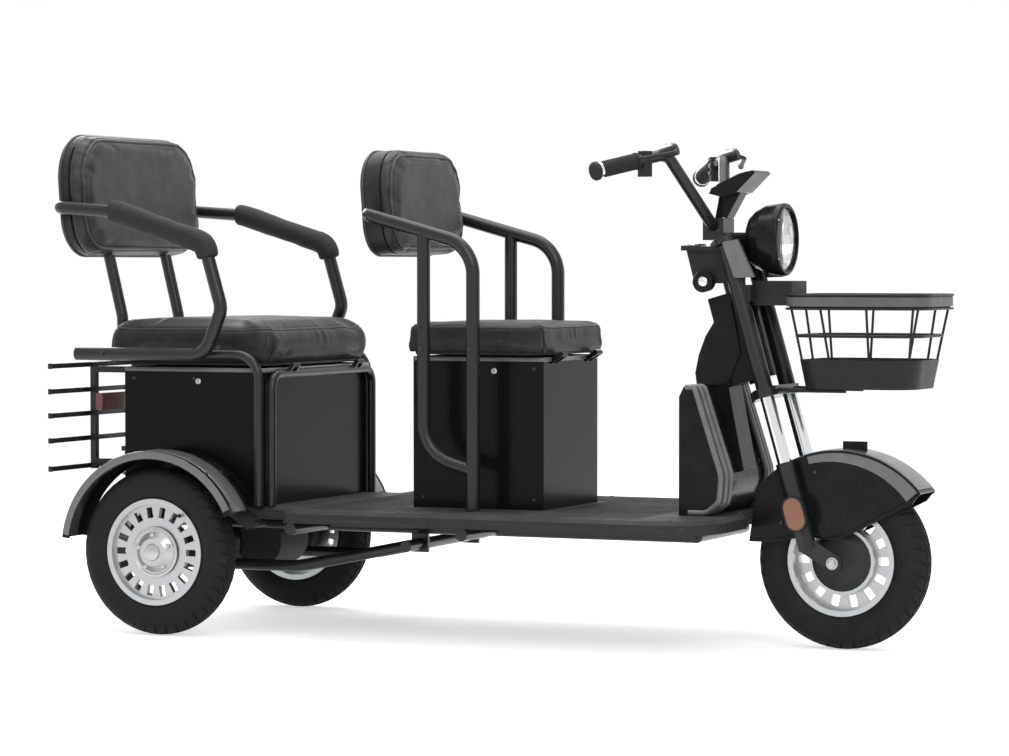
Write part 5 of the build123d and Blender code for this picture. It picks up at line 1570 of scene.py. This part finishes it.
@dataclass
class Controls:
    """Grips, bar ends, rings, switches and levers' screws of one side."""

    side: Side
    corner: Point = (1260.0, 196.0, 1168.0)
    end: Point = (1148.0, 345.0, 1127.0)

    def at(self, share: float, lift: float = 0.0, ahead: float = 0.0) -> Vector:
        """Point along the bar's straight outer end, as a share of it."""
        x, y, z = (self.corner[i] + (self.end[i] - self.corner[i]) * share for i in range(3))
        return spot(x + ahead, self.side.value * y, z + lift)

    def build(self) -> None:
        """Make the pieces of this side."""
        label = self.side.name.lower()
        out = (self.at(1) - self.at(0)).normalized()
        length = (self.at(1) - self.at(0)).length * 1000
        grip = Form()
        profile: list[tuple[float, float]] = [
            (0.435 * length, 14.3), (0.435 * length, 20.5), (0.46 * length, 20.5), (0.465 * length, 18.2)
        ]
        for k in range(23):
            at = (0.47 + 0.021 * k) * length
            profile += [(at, 18.3), (at + 1.2, 19.4), (at + 2.7, 19.4), (at + 3.6, 18.3)]
        profile += [(0.965 * length, 18.2), (0.965 * length, 14.3)]
        grip.lathe(profile, self.at(0), out, 40)
        grip.piece(f"grip_ribs_{label}", Finishes.GRIP, Body.STEERING, sharp=50)
        ring = Form()
        ring.lathe(
            [
                (0.966 * length, 15), (0.966 * length, 19.5), (0.972 * length, 20.6), (1.0 * length, 20.6),
                (1.006 * length, 19.5), (1.006 * length, 15)
            ],
            self.at(0), out, 40
        )
        ring.piece(f"grip_ring_{label}", Finishes.CHROME, Body.STEERING)
        cap = Form()
        cap.lathe(
            [
                (1.006 * length, 12), (1.006 * length, 20), (1.012 * length, 22), (1.05 * length, 22.6),
                (1.075 * length, 20), (1.087 * length, 15), (1.09 * length, 8), (1.086 * length, 0)
            ],
            self.at(0), out, 40
        )
        cap.piece(f"bar_end_{label}", Finishes.PLASTIC, Body.STEERING)
        self._switches(label, out)

    def _switches(self, label: str, out: Vector) -> None:
        """Set buttons, screws and a clamp seam on the switch block."""
        up = Vector((0, 0, 1))
        back = out.cross(up).normalized() * (1 if self.side is Side.RIGHT else -1)
        if back.x > 0:
            back = -back
        turn = Matrix((out, back, out.cross(back))).transposed()
        buttons = Form()
        for lift, size in ((14, (12, 6, 9)), (-2, (14, 5, 10)), (-20, (10, 5, 8))):
            centre = self.at(0.32, lift=lift) + back * 0.0185
            buttons.block(centre, size, turn)
        buttons.piece(f"switch_buttons_{label}", Finishes.GREY_AND_HIGHLIGHT, Body.STEERING, bevel_mm=1.6)
        seam = Form()
        outline = [self.at(0.32) + out * (x / 1000) + back * (y / 1000) for x, y in rounded(12.7, 17.7, 6)]
        seam.tube([p + up * 0.0005 for p in outline], 0.0009, 6, closed=True)
        seam.piece(f"switch_seam_{label}", Finishes.GLOSS, Body.STEERING)
        pins = Form()
        pins.lathe(
            [(-2, 0), (-2, 5.5), (0, 6.2), (2.6, 6.2), (3.4, 5), (3.4, 0)], self.at(0.10, lift=27, ahead=34),
            up, 6
        )
        pins.lathe([(0, 0), (0, 4), (2.2, 3.6), (3, 2.4), (3, 0)], self.at(0.10, lift=26, ahead=14), up, 16)
        pins.piece(f"lever_bolts_{label}", Finishes.ZINC, Body.STEERING, bevel_mm=0.4)


class Cockpit:
    """Gauge face, dash plate, key lock, socket, clamp bolts and horn rings near the steering head."""

    def build(self) -> None:
        """Make every small piece of the cockpit."""
        for side in Side:
            Controls(side).build()
        self._gauge()
        self._dash()
        self._clamp()
        self._horn()

    def _gauge(self) -> None:
        """Lay a dark screen with its frame and two keys on the pod's sloping face."""
        low, high = spot(1320, 0, 1090), spot(1400, 0, 1127)
        slope = (high - low).normalized()
        across = Vector((0, 1, 0))
        out = slope.cross(across).normalized()
        if out.z < 0:
            out = -out
        turn = Matrix((slope, across, slope.cross(across))).transposed()
        middle = low.lerp(high, 0.5)
        frame = Form()
        outer = rounded(37, 49, 12)
        inner = rounded(31, 43, 8)
        frame.rings([
            [middle + slope * (x / 1000) + across * (y / 1000) + out * 0.0002 for x, y in outer],
            [
                middle + slope * (x * 0.985 / 1000) + across * (y * 0.985 / 1000) + out * 0.0035 for x,
                y in outer
            ],
            [middle + slope * (x / 1000) + across * (y / 1000) + out * 0.0035 for x, y in inner],
            [middle + slope * (x / 1000) + across * (y / 1000) + out * 0.0008 for x, y in inner],
        ], caps=False)
        frame.piece("gauge_frame", Finishes.PLASTIC, Body.STEERING, sharp=50)
        screen = Form()
        screen.prism(
            [middle + slope * (x / 1000) + across * (y / 1000) + out * 0.0004 for x, y in rounded(31, 43, 8)],
            out * 0.0014
        )
        screen.piece("gauge_screen", Finishes.SCREEN_AND_SLOT_SHADE, Body.STEERING)
        keys = Form()
        for y in (-12, 12):
            keys.block(low + slope * 0.004 + across * (y / 1000) + out * 0.0022, (6, 12, 3), turn)
        keys.piece("gauge_keys", Finishes.GREY_AND_HIGHLIGHT, Body.STEERING, bevel_mm=1.2)

    def _dash(self) -> None:
        """Give the dash box its lighter top plate, key lock and socket."""
        plate = Form()
        outline = [(1246 + 50 + x, y) for x, y in rounded(51, 75.5, 14)]
        back = [(x, y) for x, y in outline if x <= 1290]
        back = sorted(back, key=lambda p: math.atan2(p[1], p[0] - 1275))
        ring = [spot(x, y, 951.6) for x, y in back]
        plate.prism(ring, Vector((0, 0, 0.0028)))
        plate.piece("dash_top_plate", Finishes.GREY_AND_HIGHLIGHT, Body.STEERING, bevel_mm=1.0)
        lock = Form()
        place = spot(1262, -26, 954.4)
        lock.lathe(
            [(0, 0), (0, 12.5), (2.5, 12.5), (3.6, 11), (3.6, 8), (2.4, 7), (2.4, 0)], place,
            Vector((0, 0, 1)), 32
        )
        lock.piece("key_lock", Finishes.CHROME, Body.STEERING)
        # Painted shade: a near-black block stands for the shade inside the key slot.
        slot = Form()
        slot.block(place + Vector((0, 0, 0.0026)), (2.2, 8, 1.2))
        slot.piece("key_slot", Finishes.SCREEN_AND_SLOT_SHADE, Body.STEERING, bevel_mm=0.3)
        socket = Form()
        socket.lathe(
            [(0, 0), (0, 14), (2.2, 14), (3.4, 12.5), (3.4, 9), (4.2, 8), (4.2, 0)], spot(1262, 28, 954.4),
            Vector((0, 0, 1)), 32
        )
        socket.piece("power_socket", Finishes.PLASTIC, Body.STEERING)

    def _clamp(self) -> None:
        """Bolt the handlebar's clamp and the upper crown."""
        bolts = Form()
        up = Vector((0, 0, 1))
        for x, y in ((1304, -24), (1304, 24), (1340, -24), (1340, 24)):
            bolts.lathe([(0, 0), (0, 5), (5, 5), (5, 2.6), (2.5, 2.6), (2.5, 0)], spot(x, y, 1016), up, 18)
        bolts.piece("clamp_bolts", Finishes.ZINC, Body.STEERING)

    def _horn(self) -> None:
        """Ring the horn's face."""
        out = Vector((0, -1, 0))
        centre = spot(1310, -85.4, 868)
        face = Form()
        face.lathe(
            [(0, 0), (0, 25), (1.6, 25.6), (3, 24.6), (3.2, 22), (1.4, 20), (2.4, 15), (1.2, 13), (1.2, 0)],
            centre, out, 56
        )
        face.piece("horn_face", Finishes.GLOSS, Body.STEERING, sharp=30)
        dome = Form()
        dome.lathe([(1, 0), (1, 12), (2.6, 11.6), (4.4, 9), (5.6, 5), (6, 0)], centre, out, 40)
        dome.piece("horn_dome", Finishes.CHROME, Body.STEERING)


class Fork:
    """Bolts, nuts and caps on the fork, the mudguard's painted-highlight strip and the reflectors' frames."""

    rake = math.radians(16.0)

    def build(self) -> None:
        """Make the fork's small pieces."""
        nuts = Form()
        for side in Side:
            out = Vector((0, side.value, 0))
            axle = spot(1638, side.value * 99.2, 210)
            nuts.lathe([(0, 0), (0, 14.5), (2, 14.5), (2, 0)], axle, out, 28)
            nuts.lathe([(2, 0), (2, 12), (10, 12), (11.5, 10.5), (11.5, 0)], axle, out, 6)
            nuts.lathe([(11.5, 0), (11.5, 6), (15, 6), (16, 4.5), (16, 0)], axle, out, 16)
        nuts.piece("front_axle_nuts", Finishes.ZINC, Body.STEERING, bevel_mm=0.5)
        self._reflector_frames()
        self._guard_strip()

    def _reflector_frames(self) -> None:
        """Put a thin black frame round each amber reflector."""
        along = Vector((math.sin(self.rake), 0, -math.cos(self.rake)))
        across = Vector((math.cos(self.rake), 0, math.sin(self.rake)))
        frames = Form()
        for side in Side:
            middle = spot(1550, side.value * 105.4, 324)
            out = Vector((0, side.value, 0))
            outer, inner = rounded(42.5, 27.5, 27.4, 10), rounded(38.5, 23.5, 23.4, 10)
            frames.rings([
                [middle + along * (x / 1000) + across * (y / 1000) + out * lift for x, y in ring]
                for ring, lift in ((outer, 0.0), (outer, 0.0128), (inner, 0.0142), (inner, 0.0112))
            ], caps=False)
        frames.piece("reflector_frames", Finishes.PLASTIC, Body.STEERING, sharp=40)

    def _guard_strip(self) -> None:
        """Run a raised strip over the mudguard's top, lighter as a painted highlight, and a thick lip round
        its tip.
        """
        centre = spot(1638, 0, 210)
        strip = Form()
        rings = []
        for k in range(61):
            turn = math.radians(41.5 + (137 - 41.5) * k / 60)
            up = Vector((math.cos(turn), 0, math.sin(turn)))
            rings.append([
                centre + up * r / 1000 + Vector((0, y / 1000, 0))
                for y, r in (
                    (-56, 261.2), (-54, 264.2), (-30, 264.8), (0, 265.0), (30, 264.8), (54, 264.2),
                    (56, 261.2)
                )
            ])
        strip.rings(rings)
        # Painted highlight: the strip's light grey stands for the lit top of the mudguard.
        strip.piece("mudguard_highlight_strip", Finishes.GREY_AND_HIGHLIGHT, Body.STEERING)
        bands = Form()
        for side in Side:
            rings = []
            for k in range(61):
                share = k / 60
                turn = math.radians(41 + (107 - 41) * share)
                up = Vector((math.cos(turn), 0, math.sin(turn)))
                depth = 20 + 16 * (1 - share)
                rings.append([
                    centre + up * r / 1000 + Vector((0, side.value * y / 1000, 0))
                    for y, r in (
                        (60.0, 259 - depth), (61.8, 260 - depth), (62.2, 250), (61.8, 256.5), (60.0, 257.5)
                    )
                ])
            bands.rings(rings)
        bands.piece("mudguard_side_bands", Finishes.GREY_AND_HIGHLIGHT, Body.STEERING, sharp=50)
        edge = Form()
        for side in Side:
            y = side.value * 60.4
            points = [
                spot(x, y, z) for x,
                z in (
                    (1838, 375), (1820, 362), (1760, 331), (1695, 298), (1634, 270), (1600, 269), (1560, 276),
                    (1490, 262), (1424, 258)
                )
            ]
            edge.tube(points, 0.0028, 8)
        edge.piece("mudguard_hem", Finishes.GLOSS, Body.STEERING)
        bolts = Form()
        for side in Side:
            for x, z in ((1532, 392), (1582, 420), (1500, 300)):
                bolts.lathe(
                    [(0, 0), (0, 5.5), (3, 5.2), (4, 3.6), (4, 0)], spot(x, side.value * 60.6, z),
                    Vector((0, side.value, 0)), 16
                )
        bolts.piece("mudguard_bolts", Finishes.BLACK_BOLT, Body.STEERING)


class Basket:
    """The rim band round the basket, a painted highlight, and the beads above and below it."""

    middle = 1697.0

    def build(self) -> None:
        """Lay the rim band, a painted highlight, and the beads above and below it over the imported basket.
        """
        # Painted highlight: the band's grey stands for the lit face of the basket's rim.
        self._band("basket_rim_highlight_band", 811, 833, 0.8, Finishes.BAND_HIGHLIGHT)
        rim = Form()
        for height, size in ((837.2, 3.2), (805.4, 2.6)):
            rim.tube(
                [spot(self.middle + x, y, height) for x, y in self._plan(0.4)], size / 1000, 8, closed=True
            )
        rim.piece("basket_rim_beads", Finishes.BASKET, Body.STEERING)

    @staticmethod
    def _plan(proud: float) -> list[tuple[float, float]]:
        """The rim's outline about its middle, standing proud by a little."""
        return spaced(rounded(175 + proud, 150 + proud, 70, 12), 7.0)

    def _band(self, name: str, low: float, high: float, proud: float, finish: Finish) -> None:
        """Lay a thin band round the rim between two heights."""
        band = Form()
        plan = self._plan(proud)
        thin = self._plan(proud - 1.0)
        middle = self.middle
        band.rings([
            [spot(middle + x, y, low) for x, y in thin],
            [spot(middle + x, y, low) for x, y in plan],
            [spot(middle + x, y, high) for x, y in plan],
            [spot(middle + x, y, high) for x, y in thin],
        ], closed=True)
        band.piece(name, finish, Body.STEERING, sharp=30)


class FrontEnd:
    """Everything that is laid over the steered front."""

    def build(self) -> None:
        """Make the lamp, the cockpit, the fork's and the basket's pieces."""
        for part in (Lamp(), Cockpit(), Fork(), Basket()):
            part.build()


# Boxes, deck and body trims


@dataclass
class BoxTrim:
    """Seal, lock, key slot and screws of one storage box."""

    name: str
    rear: float
    front: float
    half_width: float
    bottom: float
    top: float
    lock_x: float

    def build(self) -> None:
        """Make the trims of this box."""
        middle = (self.rear + self.front) / 2
        half = (self.front - self.rear) / 2
        seal = Form()
        rings = []
        for height, proud in (
            (self.top - 11, 0.1), (self.top - 10, 1.8), (self.top - 1.5, 1.8), (self.top - 0.3, 0.6)
        ):
            rings.append(
                [spot(middle + x, y, height) for x, y in rounded(half + proud, self.half_width + proud, 6, 4)]
            )
        seal.rings(rings, caps=False)
        seal.piece(f"{self.name}_rim_strip", Finishes.GREY_AND_HIGHLIGHT, Body.FRAME, sharp=50)
        screws = Form()
        for side in Side:
            out = Vector((0, side.value, 0))
            for x in (self.rear + 26, middle, self.front - 26):
                for z in (self.bottom + 24, self.top - 28):
                    place = spot(x, side.value * self.half_width, z)
                    screws.lathe(
                        [(-0.5, 0), (-0.5, 4.6), (0.8, 4.4), (1.6, 3.0), (1.6, 1.2), (0.9, 1.1), (0.9, 0)],
                        place, out, 16
                    )
        screws.piece(f"{self.name}_screws", Finishes.BLACK_BOLT, Body.FRAME)
        lock = Form()
        face = spot(self.lock_x, -self.half_width, self.top - 34)
        lock.lathe(
            [(-0.5, 0), (-0.5, 7.5), (1.4, 7.5), (2.6, 6.2), (2.8, 4.4), (2.1, 4), (2.1, 0)], face,
            Vector((0, -1, 0)), 28
        )
        lock.piece(f"{self.name}_lock", Finishes.ZINC, Body.FRAME)
        # Painted shade: a near-black block stands for the shade inside the key slot.
        slot = Form()
        slot.block(face + Vector((0, -0.0026, 0)), (1.5, 0.8, 6))
        slot.piece(f"{self.name}_key_slot", Finishes.SCREEN_AND_SLOT_SHADE, Body.FRAME, bevel_mm=0.2)


class DeckTrim:
    """Ribs and screws of the floor deck."""

    def build(self) -> None:
        """Lay low ribs along the deck, clear of both boxes."""
        ribs = Form()
        for k in range(-10, 11):
            y = k * 34.0
            runs = [(960.0, 1240.0)]
            if abs(y) > 190:
                runs = [(372.0, 1240.0)]
            elif abs(y) <= 190:
                runs.append((372.0, 566.0))
            for start, end in runs:
                outline = [(-4.5, 0.0), (-3.4, 1.3), (-1.5, 1.8), (1.5, 1.8), (3.4, 1.3), (4.5, 0.0)]
                ribs.rings([
                    [spot(x, y + w * grow, 317.6 + h * grow) for w, h in outline]
                    for x, grow in ((start, 0.25), (start + 5, 1.0), (end - 5, 1.0), (end, 0.25))
                ])
        ribs.piece("deck_ribs", Finishes.DECK, Body.FRAME, sharp=60)
        screws = Form()
        for side in Side:
            for x in (360, 640, 900, 1160, 1330):
                screws.lathe(
                    [(-0.5, 0), (-0.5, 6), (1.2, 5.6), (2.2, 3.8), (2.2, 1.8), (1.3, 1.6), (1.3, 0)],
                    spot(x, side.value * 358, 318), Vector((0, 0, 1)), 18
                )
        screws.piece("deck_screws", Finishes.BLACK_BOLT, Body.FRAME)


class FenderTrim:
    """Raised strip over the top and lip along the outer edge of each rear fender, both a painted highlight,
    and their bolts.
    """

    def build(self) -> None:
        """Run the painted-highlight strips and lips round both fenders, and set the bolts."""
        strips = Form()
        bolts = Form()
        for side in Side:
            centre = spot(0, side.value * 383, 205)
            rings = []
            for k in range(81):
                turn = math.radians(25 + (172 - 25) * k / 80)
                up = Vector((math.cos(turn), 0, math.sin(turn)))
                rings.append([
                    centre + up * r / 1000 + Vector((0, y / 1000, 0))
                    for y, r in (
                        (-34, 247.4), (-31, 249.6), (-20, 250.4), (20, 250.4), (31, 249.6), (34, 247.4)
                    )
                ])
            strips.rings(rings)
            for angle in (52, 95):
                turn = math.radians(angle)
                up = Vector((math.cos(turn), 0, math.sin(turn)))
                for y in (-40, 40):
                    bolts.lathe(
                        [(-1, 0), (-1, 6), (2.6, 5.6), (3.6, 3.6), (3.6, 0)],
                        centre + up * 0.248 + Vector((0, y / 1000, 0)), up, 16
                    )
        # Painted highlight: the light grey strip stands for the lit top of each fender.
        strips.piece("fender_highlight_strips", Finishes.GREY_AND_HIGHLIGHT, Body.FRAME, sharp=50)
        lips = Form()
        for side in Side:
            centre = spot(0, side.value * 432, 205)
            rings = []
            for k in range(81):
                turn = math.radians(27 + (171 - 27) * k / 80)
                up = Vector((math.cos(turn), 0, math.sin(turn)))
                rings.append([
                    centre + up * r / 1000 + Vector((0, side.value * y / 1000, 0))
                    for y, r in ((-0.5, 229.5), (1.4, 230.5), (2.4, 239.0), (1.4, 247.4), (-0.5, 248.4))
                ])
            lips.rings(rings)
        # Painted highlight: the light grey lip stands for the lit outer edge of each fender.
        lips.piece("fender_highlight_lips", Finishes.GREY_AND_HIGHLIGHT, Body.FRAME, sharp=50)
        bolts.piece("fender_bolts", Finishes.BLACK_BOLT, Body.FRAME)


class ShieldTrim:
    """The raised side panels and the screws of the front shield."""

    half_x = 92.0
    half_y = 26.0
    lift = 0.0016

    def build(self) -> None:
        """Lay the panel over the shield's sloping face."""
        top, nose = spot(1320, 0, 622), spot(1388, 0, 415)
        down = (nose - top).normalized()
        across = Vector((0, 1, 0))
        out = across.cross(down).normalized()
        if out.x < 0:
            out = -out
        panels = Form()
        for side in Side:
            middle = top.lerp(nose, 0.5) + across * side.value * 0.082 + out * 0.0002
            edge = rounded(self.half_x, self.half_y, 12)
            low = [middle + down * x / 1000 + across * y / 1000 for x, y in edge]
            high = [
                middle + down * x * 0.975 / 1000 + across * y * 0.9 / 1000 + out * self.lift for x, y in edge
            ]
            panels.rings([low, high])
        panels.piece("shield_side_panels", Finishes.GLOSS, Body.FRAME, sharp=50)
        screws = Form()
        for side in Side:
            for share in (0.1, 0.9):
                place = top.lerp(nose, share) + across * side.value * 0.116
                screws.lathe(
                    [(-0.5, 0), (-0.5, 5), (1.0, 4.7), (1.8, 3.2), (1.8, 1.4), (1.0, 1.2), (1.0, 0)], place,
                    out, 16
                )
        screws.piece("shield_screws", Finishes.BLACK_BOLT, Body.FRAME)


class RearTrim:
    """Screws and end caps at the rear rack, whose flat bars lie at these heights in millimetres."""

    bars = (394, 465, 528, 589, 653)

    def build(self) -> None:
        """Cap and bolt the rack's bars."""
        caps = Form()
        for height in self.bars:
            for side in Side:
                caps.block(spot(-358, side.value * 300.8, height), (12, 3.6, 14))
        caps.piece("rack_end_caps", Finishes.PLASTIC, Body.FRAME, bevel_mm=1.2)
        bolts = Form()
        profile = [(-0.5, 0), (-0.5, 4.8), (2.2, 4.6), (3.2, 3.0), (3.2, 0)]
        for height in self.bars:
            for side in Side:
                bolts.lathe(profile, spot(-363, side.value * 105, height), Vector((-1, 0, 0)), 14)
        bolts.piece("rack_bolts", Finishes.ZINC, Body.FRAME)


class TubeTrim:
    """Bolts of the seat tubes."""

    def build(self) -> None:
        """Bolt the backrests and the seat tubes."""
        bolts = Form()
        profile = [(0, 0), (0, 6.4), (3.6, 6.4), (4.6, 5.2), (4.6, 0)]
        places = ((661, 278.2, 705), (791, 278.2, 705), (148, 347.2, 705), (-180, 347.2, 690))
        for side in Side:
            out = Vector((0, side.value, 0))
            for x, y, z in places:
                bolts.lathe(profile, spot(x, side.value * y, z), out, 6)
        bolts.piece("tube_bolts", Finishes.BLACK_BOLT, Body.FRAME, bevel_mm=0.4)


class Trims:
    """Everything small that is laid over the boxes, the deck and the body."""

    def build(self) -> None:
        """Make every trim."""
        BoxTrim("rear_box", -148, 245, 290, 318, 655, 60).build()
        BoxTrim("middle_box", 591, 936, 171, 318, 686, 806).build()
        for part in (DeckTrim(), FenderTrim(), ShieldTrim(), RearTrim(), TubeTrim()):
            part.build()


@dataclass
class Studio:
    """Floor, lamps, world and camera."""

    eye: Point = (3.3681, -7.6535, 0.9068)
    yaw: float = 23.7291
    pitch: float = -1.901
    focal_px: float = 3394.34
    image_width_px: float = 1009.0
    sensor_mm: float = 36.0
    floor_size: float = 60.0
    world_strength: float = 0.55
    floor_glow: float = 0.55

    def build(self) -> None:
        """Make the whole studio."""
        self._camera()
        self._world()
        self._floor()
        self._lamps()
        bpy.context.scene.view_settings.view_transform = "Standard"

    def _camera(self) -> None:
        """Place the camera at the photograph's angle."""
        data = bpy.data.cameras.new("camera")
        data.sensor_width = self.sensor_mm
        data.sensor_fit = "HORIZONTAL"
        data.lens = self.focal_px * self.sensor_mm / self.image_width_px
        camera = bpy.data.objects.new("camera", data)
        camera.location = self.eye
        camera.rotation_euler = (math.radians(90 + self.pitch), 0, math.radians(self.yaw))
        bpy.context.scene.collection.objects.link(camera)
        bpy.context.scene.camera = camera

    def _world(self) -> None:
        """Light the object softly, and show plain white to the camera and in mirrors."""
        world = bpy.data.worlds.new("studio_world")
        bpy.context.scene.world = world
        world.use_nodes = True
        world.node_tree.nodes.clear()
        sheet = NodeSheet(world.node_tree)
        light = sheet.add("ShaderNodeBackground")
        light.inputs["Color"].default_value = (1, 1, 1, 1)
        light.inputs["Strength"].default_value = self.world_strength
        white = sheet.add("ShaderNodeBackground")
        white.inputs["Color"].default_value = (1, 1, 1, 1)
        white.inputs["Strength"].default_value = 1.0
        path = sheet.add("ShaderNodeLightPath")
        seen = sheet.math("MAXIMUM", path.outputs["Is Camera Ray"], path.outputs["Is Transmission Ray"])
        seen = sheet.math("MAXIMUM", seen, path.outputs["Is Glossy Ray"])
        mix = sheet.add("ShaderNodeMixShader")
        sheet.put(mix.inputs[0], seen)
        sheet.put(mix.inputs[1], light.outputs[0])
        sheet.put(mix.inputs[2], white.outputs[0])
        out = sheet.add("ShaderNodeOutputWorld")
        sheet.put(out.inputs["Surface"], mix.outputs[0])

    def _floor(self) -> None:
        """Lay a plain pale floor."""
        half = self.floor_size / 2
        mesh = bpy.data.meshes.new("studio_floor")
        mesh.from_pydata(
            [(-half, -half, 0), (half, -half, 0), (half, half, 0), (-half, half, 0)], [], [(0, 1, 2, 3)]
        )
        floor = bpy.data.objects.new("studio_floor", mesh)
        bpy.context.scene.collection.objects.link(floor)
        made = bpy.data.materials.new("pale_floor")
        made.use_nodes = True
        shader = made.node_tree.nodes["Principled BSDF"]
        shader.inputs["Base Color"].default_value = (0.9, 0.9, 0.9, 1)
        shader.inputs["Roughness"].default_value = 0.95
        shader.inputs["Specular IOR Level"].default_value = 0.0
        shader.inputs["Emission Color"].default_value = (1, 1, 1, 1)
        sheet = NodeSheet(made.node_tree)
        path = sheet.add("ShaderNodeLightPath")
        seen = sheet.math("MAXIMUM", path.outputs["Is Camera Ray"], path.outputs["Is Glossy Ray"])
        seen = sheet.math("MAXIMUM", seen, path.outputs["Is Transmission Ray"])
        sheet.put(shader.inputs["Emission Strength"], sheet.math("MULTIPLY", seen, self.floor_glow))
        mesh.materials.append(made)

    def _lamps(self) -> None:
        """Hang soft boxes above, before and behind."""
        for name, place, aim, size, power in (
            ("key_box", (2.5, -3.5, 3.6), (0.0, 0.0, 0.6), 3.0, 85.0),
            ("top_box", (-0.3, 0.4, 4.2), (0.0, 0.0, 0.5), 3.6, 130.0),
            ("rim_box", (-3.4, 2.6, 2.8), (0.0, 0.0, 0.7), 2.2, 80.0),
        ):
            data = bpy.data.lights.new(name, "AREA")
            data.shape = "SQUARE"
            data.size = size
            data.energy = power
            lamp = bpy.data.objects.new(name, data)
            lamp.location = place
            direction = Vector(aim) - Vector(place)
            lamp.rotation_euler = direction.to_track_quat("-Z", "Y").to_euler()
            bpy.context.scene.collection.objects.link(lamp)


def dress_nodes(nodes: dict[str, bpy.types.Object]) -> None:
    """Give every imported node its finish.

    Args:
        nodes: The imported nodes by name.
    """
    for name, node in nodes.items():
        material = NODE_FINISHES[name].material()
        if not node.material_slots:
            node.data.materials.append(material)
        for slot in node.material_slots:
            slot.material = material


def main() -> None:
    """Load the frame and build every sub-assembly."""
    logging.basicConfig(level=logging.INFO, format="%(name)s: %(message)s")
    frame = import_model()
    Studio().build()
    dress_nodes(frame["nodes"])
    for assembly in (Seats(), Wheels(), FrontEnd(), Trims()):
        assembly.build()
        LOG.info("%s built", type(assembly).__name__)


if __name__ == "__main__":
    main()
